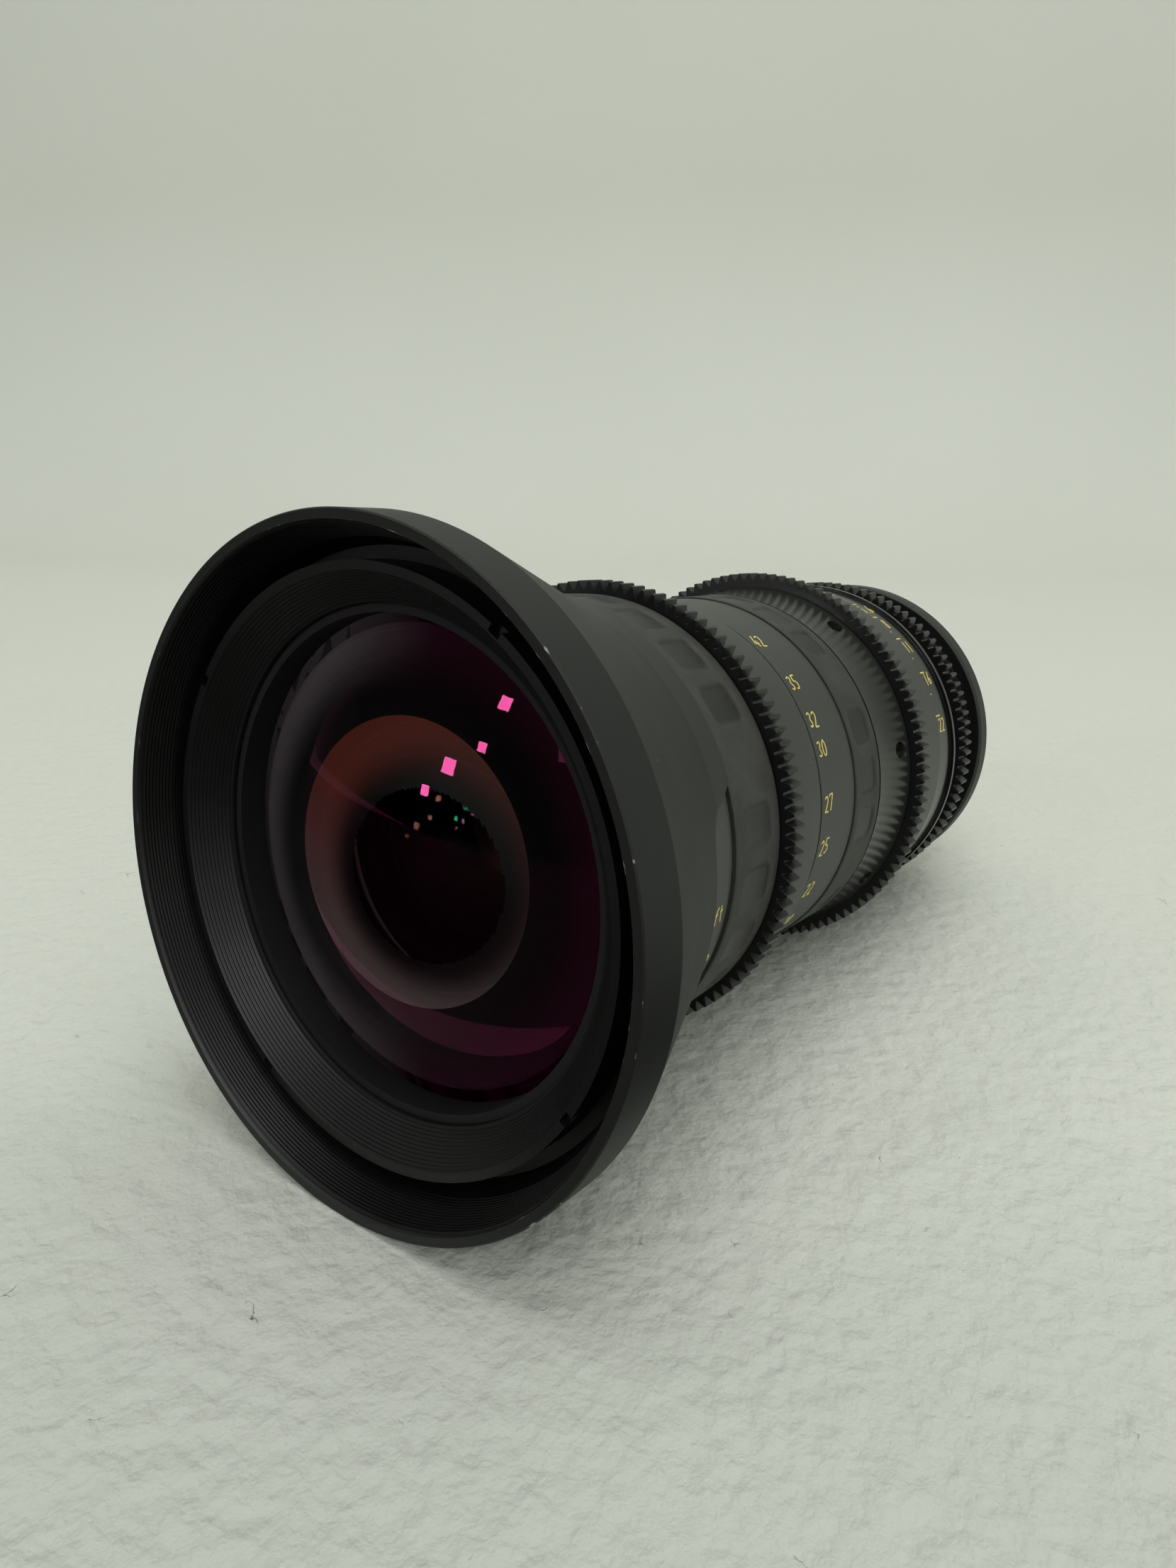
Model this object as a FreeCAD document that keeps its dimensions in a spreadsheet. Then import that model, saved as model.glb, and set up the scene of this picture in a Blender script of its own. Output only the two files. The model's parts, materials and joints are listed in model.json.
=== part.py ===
import FreeCAD, Part
import math
import os
import re
import Sketcher

# A cinema zoom lens that lies along Y with its front towards -Y, +Z up.
# The origin is the centre of the seating face of its camera mount.
# A station is a distance behind the front rim, so each piece is drawn from the rim
# and placed seatStation in front of the origin.

doc = FreeCAD.newDocument("CinemaZoomLens")
sheet = doc.addObject("Spreadsheet::Sheet", "Dims")

# Driving sizes, in millimetres and degrees.
DRIVING = [
    ("frontRadius", 57.0, "outside of the front rim, 114 mm across"),
    ("rimWall", 1.8, "wall of the front rim at its lip"),
    ("rimLength", 8.7, "straight outside of the front rim"),
    ("coneLength", 31.2, "cone behind the rim"),
    ("coneEndRadius", 44.6, "small end of the cone"),
    ("bandLength", 7.2, "band behind the cone"),
    ("bandEndRadius", 43.4, "rear edge of that band"),
    ("recessDepth", 12.0, "front rim to the floor of the recess"),
    ("recessWall", 4.1, "wall of the cone at the recess floor"),
    ("cellDepth", 12.0, "bore behind the recess that holds the front cell"),
    ("webWall", 3.5, "web across the front barrel"),
    ("webBore", 31.5, "bore of the web"),
    ("skirtWall", 0.9, "skirt over the focus scale"),
    ("skirtGap", 0.3, "skirt to the focus scale"),
    ("windowLength", 12.3, "window over the focus scale, along the axis"),
    ("windowStart", 20.5, "upper edge of the window above the horizontal"),
    ("windowAngle", 124.0, "window over the focus scale, round the axis"),
    ("lipGap", 2.2, "recess wall to the notched ring, at the recess floor"),
    ("lipWidth", 1.5, "flat lip of the notched ring"),
    ("lipHeight", 6.5, "notched ring above the recess floor"),
    ("lipHold", 2.4, "notched ring past the front cell, which it holds"),
    ("baffleGap", 1.5, "front element to the small end of the ribbed cone"),
    ("baffleFoot", 0.5, "recess floor to the small end of the ribbed cone"),
    ("notchWidth", 2.2, "spanner notches in the lip"),
    ("notchDepth", 1.6, "depth of a notch from the front"),
    ("notchReach", 1.2, "depth of a notch from the outside of the lip"),
    ("notchTurn", 58.7, "turn of the notches from the horizontal"),
    ("notchCount", 4, "spanner notches"),
    ("fitClear", 0.02, "clearance of pieces that are fixed together"),
    ("runClear", 0.05, "running clearance of a ring or cell on its seat"),
    ("ringGap", 0.5, "moving ring to its fixed neighbour"),
    ("seamGap", 0.3, "seam between two pieces of one ring"),
    ("frontCellWall", 5.8, "wall of the front cell round its element"),
    ("frontGlassWall", 3.8, "edge of the front element"),
    ("frontGlassCurve", 80.0, "curve of its front"),
    ("frontGlassHollow", 38.0, "curve of its hollow rear"),
    ("frontGlassClear", 27.0, "radius of its hollow"),
    ("frontCellShoulder", 3.0, "shoulder behind the front element, along the axis"),
    ("shoulderReach", 3.0, "glass that a cell's shoulder covers"),
    ("cellShoulder", 2.0, "shoulder of the other cells, along the axis"),
    ("secondCellLength", 8.6, "second cell"),
    ("secondGlassRadius", 26.0, "second element"),
    ("secondGlassWall", 3.4, "its edge"),
    ("secondGlassCurve", 60.0, "curve of its front"),
    ("secondGlassHollow", 40.0, "curve of its hollow rear"),
    ("secondGlassClear", 19.0, "radius of its hollow"),
    ("tubeBore", 30.5, "bore of the main tube"),
    ("tubeWall", 2.5, "wall of the main tube"),
    ("tubeFlangeRadius", 38.0, "front flange of the main tube"),
    ("tubeFlangeWall", 2.0, "thickness of that flange"),
    ("gripSeat", 40.6, "seat of the focus grip and gear"),
    ("focusGripFront", 42.8, "front of the focus grip"),
    ("focusGripRear", 42.2, "rear of the focus grip"),
    ("focusGripLength", 16.4, "focus grip"),
    ("gearWidth", 4.0, "face of the gears"),
    ("toothModule", 0.8, "cine gear teeth"),
    ("flankAngle", 20.0, "lean of a tooth's flank"),
    ("focusTeeth", 110, "teeth of the focus gear"),
    ("zoomTeeth", 110, "teeth of the zoom gear"),
    ("irisTeeth", 102, "teeth of the iris gear"),
    ("padCount", 24, "pads round a grip"),
    ("padTurn", 5.5, "turn of the first pad from the top"),
    ("padWidth", 7.4, "pad, round the grip"),
    ("padDepth", 0.5, "depth of a pad below the grip"),
    ("focusPadLength", 9.6, "focus pad, along the axis"),
    ("zoomPadLength", 7.8, "zoom pad, along the axis"),
    ("centreLength", 16.4, "fixed centre ring"),
    ("centreRadius", 41.0, "outside of the centre ring"),
    ("centreBevel", 3.2, "rear bevel of the centre ring, along the axis"),
    ("centreEndRadius", 39.8, "rear edge of that bevel"),
    ("scaleBandRadius", 39.8, "zoom scale band"),
    ("scaleBandLength", 15.1, "zoom scale band"),
    ("zoomSeat", 38.4, "seat of the zoom grip, flared band and gear"),
    ("zoomGripRadius", 40.2, "outside of the zoom grip"),
    ("zoomGripLength", 12.2, "zoom grip"),
    ("flareFront", 40.2, "front of the flared band"),
    ("flareRear", 41.6, "rear of the flared band"),
    ("flareLength", 13.1, "flared band behind the zoom grip"),
    ("midLength", 16.9, "fixed ring before the iris ring"),
    ("midFront", 41.4, "its front edge"),
    ("midRear", 40.6, "its rear edge"),
    ("irisBandRadius", 40.2, "iris scale band"),
    ("irisBandLength", 8.0, "iris scale band"),
    ("irisLipRadius", 41.0, "lip behind the iris scale"),
    ("irisLipLength", 1.2, "that lip"),
    ("irisSeat", 37.6, "seat of the iris gear"),
    ("irisStep", 6.2, "lip to the iris gear"),
    ("neckRadius", 37.0, "neck of the rear barrel"),
    ("neckLength", 10.6, "neck of the rear barrel"),
    ("rearRadius", 40.4, "rear flange"),
    ("rearLength", 5.4, "rear flange"),
    ("rearBevel", 0.6, "edges of the rear flange"),
    ("rearBore", 24.0, "bore of the rear barrel"),
    ("mountLength", 5.8, "rear flange to the seating face"),
    ("mountRadius", 34.0, "tabs of the mount"),
    ("mountNeckRadius", 29.5, "mount in front of its tabs"),
    ("mountTabWall", 3.2, "thickness of the tabs"),
    ("mountTabs", 4, "tabs of the mount"),
    ("mountGapWidth", 24.0, "gap between two tabs"),
    ("mountGapFloor", 30.2, "floor of that gap"),
    ("keyNotchWidth", 3.2, "locating notch in a tab"),
    ("keyNotchDepth", 2.4, "depth of that notch"),
    ("registerRadius", 27.0, "54 mm register of the mount"),
    ("registerLength", 8.0, "length of the register"),
    ("tailRadius", 24.4, "tail tube behind the register"),
    ("tailLength", 22.0, "seating face to the end of the tail"),
    ("tailBore", 22.0, "bore of the mount and tail"),
    ("rearCellLength", 9.0, "rear cell"),
    ("rearCellSet", 0.8, "rear cell inside the end of the tail"),
    ("rearGlassRadius", 19.0, "rear element"),
    ("rearGlassWall", 3.0, "its edge"),
    ("rearGlassCurve", 60.0, "its curves"),
    ("focusCellSet", 6.4, "front of the focus grip to the focus cell"),
    ("focusCellLength", 13.0, "focus cell"),
    ("focusGlassRadius", 24.0, "focus element"),
    ("focusGlassWall", 4.0, "its edge"),
    ("focusGlassCurve", 62.0, "its curves"),
    ("variatorSet", 6.1, "front of the zoom ring to the variator cell"),
    ("variatorCellLength", 12.0, "variator cell"),
    ("variatorGlassRadius", 21.0, "variator element"),
    ("variatorGlassWall", 7.0, "its edge"),
    ("variatorGlassCurve", 78.0, "its hollow curves"),
    ("variatorGlassClear", 18.0, "radius of its hollows"),
    ("compensatorSet", 29.6, "front of the zoom ring to the compensator cell"),
    ("compensatorCellLength", 11.0, "compensator cell"),
    ("compensatorGlassRadius", 22.0, "compensator element"),
    ("compensatorGlassWall", 3.5, "its edge"),
    ("compensatorGlassCurve", 66.0, "its curves"),
    ("plateSet", 1.5, "iris scale lip to the blade plate"),
    ("plateWall", 1.6, "blade plate"),
    ("plateBore", 18.0, "bore of the blade plate"),
    ("bladeTurn", 31.0, "turn of a blade from closed to open"),
    ("pivotCircle", 27.0, "radius of the circle of blade pivots"),
    ("studRadius", 0.8, "pivot stud of a blade"),
    ("studLength", 1.2, "stud inside the blade plate"),
    ("bladeInner", 16.5, "inner edge of an open blade"),
    ("bladeOuter", 24.2, "outer edge of an open blade"),
    ("bladeArc", 108.0, "reach of a blade round the axis"),
    ("bladeEye", 3.2, "eye round the stud"),
    ("bladeSheet", 0.15, "thickness of a blade"),
    ("bladePitch", 0.25, "one blade to the next along the axis"),
    ("driveGap", 0.5, "drive ring to the first blade"),
    ("driveWall", 1.4, "drive ring, along the axis"),
    ("driveBore", 22.0, "bore of the drive ring"),
    ("driveRadius", 29.4, "outside of the drive ring"),
    ("keyWidth", 4.0, "drive key, round the axis"),
    ("keyClear", 0.25, "drive key to its slot in the main tube"),
    ("keyTurn", 82.0, "turn of the iris ring"),
    ("keySpare", 8.0, "spare turn of the slot past the key's centre"),
]
BLADES = 9

# Sizes that follow from the driving ones, each a formula of the sheet.
DERIVED = [
    ("bladeCount", "%d" % BLADES),
    ("rimInner", "frontRadius - rimWall"),
    ("coneFall", "(frontRadius - coneEndRadius) / coneLength"),
    ("recessRadius", "frontRadius - (recessDepth - rimLength) * coneFall - recessWall"),
    ("rimRootInner", "rimInner - (rimInner - recessRadius) * rimLength / recessDepth"),
    ("lipRadius", "recessRadius - lipGap"),
    ("lipInnerRadius", "lipRadius - lipWidth"),
    ("frontCellRadius", "lipRadius - lipHold"),
    ("frontGlassRadius", "frontCellRadius - frontCellWall"),
    ("baffleRadius", "frontGlassRadius + baffleGap"),
    ("coneEnd", "rimLength + coneLength"),
    ("bandEnd", "coneEnd + bandLength"),
    ("cellBore", "frontCellRadius + fitClear"),
    ("webFront", "recessDepth + cellDepth"),
    ("webRear", "webFront + webWall"),
    ("skirtRootInner", "coneEndRadius + (coneEnd - webRear) * coneFall - skirtWall"),
    ("skirtMidInner", "coneEndRadius - skirtWall"),
    ("skirtEndInner", "bandEndRadius - skirtWall"),
    ("windowFront", "bandEnd - windowLength"),
    ("windowRear", "bandEnd + skirtWall"),
    ("windowInner", "skirtEndInner - skirtWall"),
    ("windowOuter", "coneEndRadius + (coneEnd - windowFront) * coneFall + skirtWall"),
    ("lipFront", "recessDepth - lipHeight"),
    ("baffleSmall", "recessDepth - baffleFoot"),
    ("notchInner", "lipRadius - notchReach"),
    ("notchOuter", "lipRadius + notchReach"),
    ("notchHalf", "notchWidth / 2"),
    ("notchLow", "-notchWidth / 2"),
    ("notchFloor", "lipFront + notchDepth"),
    ("frontGlassRear", "webFront - frontCellShoulder"),
    ("frontGlassFront", "frontGlassRear - frontGlassWall"),
    ("tubeOuter", "tubeBore + tubeWall"),
    ("tubeFlangeRear", "webRear + tubeFlangeWall"),
    ("fixedSeat", "tubeOuter + fitClear"),
    ("runSeat", "tubeOuter + runClear"),
    ("fixedInTube", "tubeBore - fitClear"),
    ("slideInTube", "tubeBore - runClear"),
    ("secondCellRear", "webRear + secondCellLength"),
    ("secondGlassRear", "secondCellRear - cellShoulder"),
    ("secondGlassFront", "secondGlassRear - secondGlassWall"),
    ("scaleFront", "windowFront - skirtGap"),
    ("scaleFrontRadius", "coneEndRadius + (coneEnd - scaleFront) * coneFall - skirtWall - skirtGap"),
    ("scaleMidRadius", "skirtMidInner - skirtGap"),
    ("scaleEndRadius", "skirtEndInner - skirtGap"),
    ("gripFront", "bandEnd + ringGap"),
    ("gripRear", "gripFront + focusGripLength"),
    ("focusGearFront", "gripRear + ringGap"),
    ("focusGearRear", "focusGearFront + gearWidth"),
    ("gripBore", "gripSeat + fitClear"),
    ("centreFront", "focusGearRear + ringGap"),
    ("centreRear", "centreFront + centreLength"),
    ("centreShoulder", "centreRear - centreBevel"),
    ("zoomFront", "centreRear + ringGap"),
    ("scaleBandRear", "zoomFront + scaleBandLength"),
    ("zoomGripFront", "scaleBandRear + seamGap"),
    ("zoomGripRear", "zoomGripFront + zoomGripLength"),
    ("flareStart", "zoomGripRear + seamGap"),
    ("flareEnd", "flareStart + flareLength"),
    ("zoomGearFront", "flareEnd + ringGap"),
    ("zoomGearRear", "zoomGearFront + gearWidth"),
    ("zoomBore", "zoomSeat + fitClear"),
    ("midStart", "zoomGearRear + ringGap"),
    ("midEnd", "midStart + midLength"),
    ("irisFront", "midEnd + ringGap"),
    ("irisBandRear", "irisFront + irisBandLength"),
    ("irisLipRear", "irisBandRear + irisLipLength"),
    ("irisGearFront", "irisLipRear + irisStep"),
    ("irisGearRear", "irisGearFront + gearWidth"),
    ("irisBore", "irisSeat + fitClear"),
    ("neckFront", "irisGearRear + ringGap"),
    ("rearFront", "neckFront + neckLength"),
    ("rearEnd", "rearFront + rearLength"),
    ("rearFaceRadius", "rearRadius - rearBevel"),
    ("rearBevelFront", "rearFront + rearBevel"),
    ("rearBevelRear", "rearEnd - rearBevel"),
    ("seatStation", "rearEnd + mountLength"),
    ("tabFront", "seatStation - mountTabWall"),
    ("registerEnd", "seatStation + registerLength"),
    ("tailEnd", "seatStation + tailLength"),
    ("gapHalf", "mountGapWidth / 2"),
    ("gapLow", "-mountGapWidth / 2"),
    ("gapCeiling", "mountRadius + mountTabWall"),
    ("keyNotchHalf", "keyNotchWidth / 2"),
    ("keyNotchLow", "-keyNotchWidth / 2"),
    ("keyNotchFloor", "mountRadius - keyNotchDepth"),
    ("focusRoot", "toothModule * (focusTeeth / 2 - 1.25)"),
    ("focusTip", "toothModule * (focusTeeth / 2 + 1)"),
    ("focusCut", "focusTip + toothModule / 2"),
    ("zoomRoot", "toothModule * (zoomTeeth / 2 - 1.25)"),
    ("zoomTip", "toothModule * (zoomTeeth / 2 + 1)"),
    ("zoomCut", "zoomTip + toothModule / 2"),
    ("irisRoot", "toothModule * (irisTeeth / 2 - 1.25)"),
    ("irisTip", "toothModule * (irisTeeth / 2 + 1)"),
    ("irisCut", "irisTip + toothModule / 2"),
    ("gapRootHalf", "toothModule * (pi / 4 - 1.25 * tan(flankAngle * 1 deg))"),
    ("gapCutHalf", "toothModule * (pi / 4 + 1.5 * tan(flankAngle * 1 deg))"),
    ("gapRootLow", "-gapRootHalf"),
    ("gapCutLow", "-gapCutHalf"),
    ("padHalf", "padWidth / 2"),
    ("padLow", "-padWidth / 2"),
    ("focusPadFront", "(gripFront + gripRear - focusPadLength) / 2"),
    ("focusPadRear", "focusPadFront + focusPadLength"),
    ("focusPadFloor", "(focusGripFront + focusGripRear) / 2 - padDepth"),
    ("zoomPadFront", "(zoomGripFront + zoomGripRear - zoomPadLength) / 2"),
    ("zoomPadRear", "zoomPadFront + zoomPadLength"),
    ("zoomPadFloor", "zoomGripRadius - padDepth"),
    ("focusCellFront", "gripFront + focusCellSet"),
    ("focusCellRear", "focusCellFront + focusCellLength"),
    ("focusGlassRear", "focusCellRear - cellShoulder"),
    ("focusGlassFront", "focusGlassRear - focusGlassWall"),
    ("variatorCellFront", "zoomFront + variatorSet"),
    ("variatorCellRear", "variatorCellFront + variatorCellLength"),
    ("variatorGlassRear", "variatorCellRear - cellShoulder"),
    ("variatorGlassFront", "variatorGlassRear - variatorGlassWall"),
    ("compensatorCellFront", "zoomFront + compensatorSet"),
    ("compensatorCellRear", "compensatorCellFront + compensatorCellLength"),
    ("compensatorGlassRear", "compensatorCellRear - cellShoulder"),
    ("compensatorGlassFront", "compensatorGlassRear - compensatorGlassWall"),
    ("plateFront", "irisLipRear + plateSet"),
    ("plateRear", "plateFront + plateWall"),
    ("studHole", "studRadius + runClear"),
    ("studEnd", "plateFront + studLength"),
    ("bladeFar", "-pivotCircle"),
    ("driveRear", "plateFront - %d * bladePitch - driveGap" % BLADES),
    ("driveFront", "driveRear - driveWall"),
    ("keyFoot", "driveRadius + fitClear"),
    ("keyTop", "tubeOuter - runClear"),
    ("keyHalf", "keyWidth / 2"),
    ("keyLow", "-keyWidth / 2"),
    ("slotFront", "driveFront - keyClear"),
    ("slotRear", "driveRear + keyClear"),
    ("slotInner", "tubeBore - tubeWall"),
    ("slotOuter", "tubeOuter + tubeWall"),
    ("slotAngle", "keyTurn + 2 * keySpare"),
    ("slotTurn", "-90 - keySpare"),
    ("rearCellRear", "tailEnd - rearCellSet"),
    ("rearCellFront", "rearCellRear - rearCellLength"),
    ("rearGlassRear", "rearCellRear - cellShoulder"),
    ("rearGlassFront", "rearGlassRear - rearGlassWall"),
    ("rearCellRadius", "tailBore - fitClear"),
    ("spigotRadius", "tubeBore - fitClear"),
]
GLASSES = ("frontGlass", "secondGlass", "focusGlass", "variatorGlass", "compensatorGlass", "rearGlass")
for glass in GLASSES:
    DERIVED.append((glass + "Seat", "%sRadius + fitClear" % glass))
    DERIVED.append((glass + "Throat", "%sRadius - shoulderReach" % glass))

# The ribbed cone of the notched ring climbs to the lip in even steps.
RIDGES = 4
for step in range(1, RIDGES):
    DERIVED.append(("ridgeRadius%d" % step, "baffleRadius + (lipInnerRadius - baffleRadius) * %d / %d" % (step, RIDGES)))
    DERIVED.append(("ridgeStation%d" % step, "baffleSmall - (baffleSmall - lipFront) * %d / %d" % (step, RIDGES)))

ALIASES = {row[0] for row in DRIVING} | {row[0] for row in DERIVED}
WORD = re.compile("[A-Za-z][A-Za-z0-9]*")
Y_AXIS = FreeCAD.Vector(0, 1, 0)


def fill_sheet():
    row = 1
    for alias, number, note in DRIVING:
        sheet.set("A%d" % row, alias)
        sheet.set("B%d" % row, str(number))
        sheet.set("C%d" % row, note)
        sheet.setAlias("B%d" % row, alias)
        row += 1
    for alias, formula in DERIVED:
        sheet.set("A%d" % row, alias)
        sheet.set("B%d" % row, "=" + formula)
        sheet.setAlias("B%d" % row, alias)
        row += 1
    doc.recompute()


def size(alias):
    value = sheet.get(alias)
    return float(getattr(value, "Value", value))


def bind(item, path, formula):
    """Drive a property from a formula of aliases."""
    def read_from_sheet(found):
        word = found.group(0)
        return "Dims." + word if word in ALIASES else word
    item.setExpression(path, WORD.sub(read_from_sheet, formula))


def origin_feature(body, role):
    for feature in body.Origin.OriginFeatures:
        if feature.Role == role:
            return feature
    raise ValueError(role)


def new_body(label):
    body = doc.addObject("PartDesign::Body", label)
    body.Label = label
    bind(body, "Placement.Base.y", "-seatStation")
    return body


def new_sketch(body, name, role, turn=None, lift=None):
    """A sketch on an origin plane, turned about the lens axis and lifted off the plane."""
    sketch = body.newObject("Sketcher::SketchObject", name)
    sketch.AttachmentSupport = [(origin_feature(body, role), "")]
    sketch.MapMode = "FlatFace"
    if turn is not None:
        axis = Y_AXIS if role == "XY_Plane" else FreeCAD.Vector(0, 0, -1)
        sketch.AttachmentOffset = FreeCAD.Placement(FreeCAD.Vector(), FreeCAD.Rotation(axis, 1))
        bind(sketch, "AttachmentOffset.Rotation.Angle", turn)
    if lift is not None:
        height, angle = lift
        bind(sketch, "AttachmentOffset.Base.z", "(%s) * cos(%s * 1 deg)" % (height, angle))
        bind(sketch, "AttachmentOffset.Base.x", "(%s) * sin(%s * 1 deg)" % (height, angle))
    return sketch


def pin_point(sketch, geo, end, across, along):
    """Drive one point of a sketch from two cells. None stands for zero."""
    for kind, alias, axis in (("DistanceX", across, -2), ("DistanceY", along, -1)):
        if alias is None:
            sketch.addConstraint(Sketcher.Constraint("PointOnObject", geo, end, axis))
        else:
            index = sketch.addConstraint(Sketcher.Constraint(kind, -1, 1, geo, end, size(alias)))
            bind(sketch, "Constraints[%d]" % index, alias)


def at(across, along):
    return FreeCAD.Vector(size(across) if across else 0, size(along) if along else 0, 0)


def draw_outline(sketch, corners):
    """A closed outline of straight lines whose corners are pairs of cells."""
    count = len(corners)
    for index in range(count):
        line = Part.LineSegment(at(*corners[index]), at(*corners[(index + 1) % count]))
        sketch.addGeometry(line, False)
    for index in range(count):
        sketch.addConstraint(Sketcher.Constraint("Coincident", index, 2, (index + 1) % count, 1))
    for index, (across, along) in enumerate(corners):
        pin_point(sketch, index, 1, across, along)


def turn_profile(body, name, corners, kind="PartDesign::Revolution", angle=None, turn=None):
    """Turn an outline of radius and station pairs about the lens axis."""
    sketch = new_sketch(body, name + "Profile", "XY_Plane", turn=turn)
    draw_outline(sketch, corners)
    feature = body.newObject(kind, name)
    feature.Profile = sketch
    feature.ReferenceAxis = (sketch, ["V_Axis"])
    feature.Angle = 360
    if angle is not None:
        bind(feature, "Angle", angle)
    body.Tip = feature
    return feature


def turned_ring(label, corners):
    body = new_body(label)
    turn_profile(body, label + "Turn", corners)
    return body


def cut_through(body, sketch, name, reverse):
    pocket = body.newObject("PartDesign::Pocket", name)
    pocket.Profile = sketch
    pocket.Type = 1
    pocket.Reversed = reverse
    body.Tip = pocket
    return pocket


def repeat_round(body, feature, name, count):
    pattern = body.newObject("PartDesign::PolarPattern", name)
    pattern.Originals = [feature]
    pattern.Axis = (origin_feature(body, "Y_Axis"), [""])
    pattern.Angle = 360
    bind(pattern, "Occurrences", count)
    body.Tip = pattern
    return pattern


def gear_ring(label, front, rear, seat, root, tip, cut, teeth):
    """A ring with straight teeth: one gap is cut through and repeated round it."""
    body = turned_ring(label, [(seat, front), (tip, front), (tip, rear), (seat, rear)])
    sketch = new_sketch(body, label + "Gap", "XZ_Plane")
    draw_outline(sketch, [(root, "gapRootLow"), (cut, "gapCutLow"), (cut, "gapCutHalf"), (root, "gapRootHalf")])
    gap = cut_through(body, sketch, label + "GapCut", False)
    repeat_round(body, gap, label + "Teeth", teeth)
    return body


def grip_ring(label, corners, floor, pad_front, pad_rear):
    """A rubber grip with a row of shallow pads."""
    body = turned_ring(label, corners)
    sketch = new_sketch(body, label + "Pad", "XY_Plane", turn="padTurn", lift=(floor, "padTurn"))
    draw_outline(sketch, [
        ("padLow", pad_front), ("padHalf", pad_front), ("padHalf", pad_rear), ("padLow", pad_rear),
    ])
    pad = cut_through(body, sketch, label + "PadCut", True)
    repeat_round(body, pad, label + "Pads", "padCount")
    return body


def glass_cell(label, outer, glass, front, rear, glass_rear):
    """A tube that holds one element against a shoulder at its rear."""
    seat = glass + "Seat"
    throat = glass + "Throat"
    return turned_ring(label, [
        (seat, front), (outer, front), (outer, rear), (throat, rear), (throat, glass_rear), (seat, glass_rear),
    ])


def glass_side(sketch, clear, station, curve, front, hollow):
    """One spherical side of an element, from the axis to its clear edge."""
    radius = size(curve)
    edge = size(clear)
    reach = math.sqrt(radius * radius - edge * edge)
    # The vertex lies in front of the sphere's centre on a bulging front and on a hollow rear.
    vertex_first = front != hollow
    middle = size(station) + (reach if vertex_first else -reach)
    edge_angle = math.atan2(size(station) - middle, edge)
    circle = Part.Circle(FreeCAD.Vector(0, middle, 0), FreeCAD.Vector(0, 0, 1), radius)
    if vertex_first:
        arc = Part.ArcOfCircle(circle, -math.pi / 2, edge_angle)
    else:
        arc = Part.ArcOfCircle(circle, edge_angle, math.pi / 2)
    geo = sketch.addGeometry(arc, False)
    vertex_end, edge_end = (1, 2) if vertex_first else (2, 1)
    sketch.addConstraint(Sketcher.Constraint("PointOnObject", geo, 3, -2))
    sketch.addConstraint(Sketcher.Constraint("PointOnObject", geo, vertex_end, -2))
    index = sketch.addConstraint(Sketcher.Constraint("Radius", geo, radius))
    bind(sketch, "Constraints[%d]" % index, curve)
    return geo, vertex_end, edge_end


def join_points(sketch, first, first_end, second, second_end):
    """A line between two points that are already drawn."""
    line = Part.LineSegment(sketch.getPoint(first, first_end), sketch.getPoint(second, second_end))
    geo = sketch.addGeometry(line, False)
    sketch.addConstraint(Sketcher.Constraint("Coincident", geo, 1, first, first_end))
    sketch.addConstraint(Sketcher.Constraint("Coincident", geo, 2, second, second_end))
    return geo


def element(label, glass, front_side, rear_side):
    """A lens element. Each side is its curve, the clear radius of that curve and whether it is hollow.

    A side whose clear radius is smaller than the rim has a flat annulus round it."""
    rim = glass + "Radius"
    body = new_body(label)
    sketch = new_sketch(body, label + "Profile", "XY_Plane")
    ends = []
    for station, (curve, clear, hollow) in ((glass + "Front", front_side), (glass + "Rear", rear_side)):
        is_front = station.endswith("Front")
        geo, vertex_end, edge_end = glass_side(sketch, clear, station, curve, is_front, hollow)
        pin_point(sketch, geo, edge_end, clear, station)
        rim_end = (geo, edge_end)
        if clear != rim:
            flat = sketch.addGeometry(Part.LineSegment(at(clear, station), at(rim, station)), False)
            sketch.addConstraint(Sketcher.Constraint("Coincident", flat, 1, geo, edge_end))
            pin_point(sketch, flat, 2, rim, station)
            rim_end = (flat, 2)
        ends.append(((geo, vertex_end), rim_end))
    (front_vertex, front_rim), (rear_vertex, rear_rim) = ends
    join_points(sketch, *front_rim, *rear_rim)
    join_points(sketch, *front_vertex, *rear_vertex)
    feature = body.newObject("PartDesign::Revolution", label + "Turn")
    feature.Profile = sketch
    feature.ReferenceAxis = (sketch, ["V_Axis"])
    feature.Angle = 360
    body.Tip = feature
    return body


def make_front_barrel():
    """The cone behind the rim and the skirt with the window over the focus scale."""
    body = turned_ring("front_barrel", [
        ("rimRootInner", "rimLength"), ("frontRadius", "rimLength"),
        ("coneEndRadius", "coneEnd"), ("bandEndRadius", "bandEnd"), ("skirtEndInner", "bandEnd"),
        ("skirtMidInner", "coneEnd"), ("skirtRootInner", "webRear"), ("webBore", "webRear"),
        ("webBore", "webFront"), ("cellBore", "webFront"), ("cellBore", "recessDepth"),
        ("recessRadius", "recessDepth"),
    ])
    turn_profile(body, "ScaleWindow", [
        ("windowInner", "windowFront"), ("windowOuter", "windowFront"),
        ("windowOuter", "windowRear"), ("windowInner", "windowRear"),
    ], kind="PartDesign::Groove", angle="windowAngle", turn="-windowStart")
    return body


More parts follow.
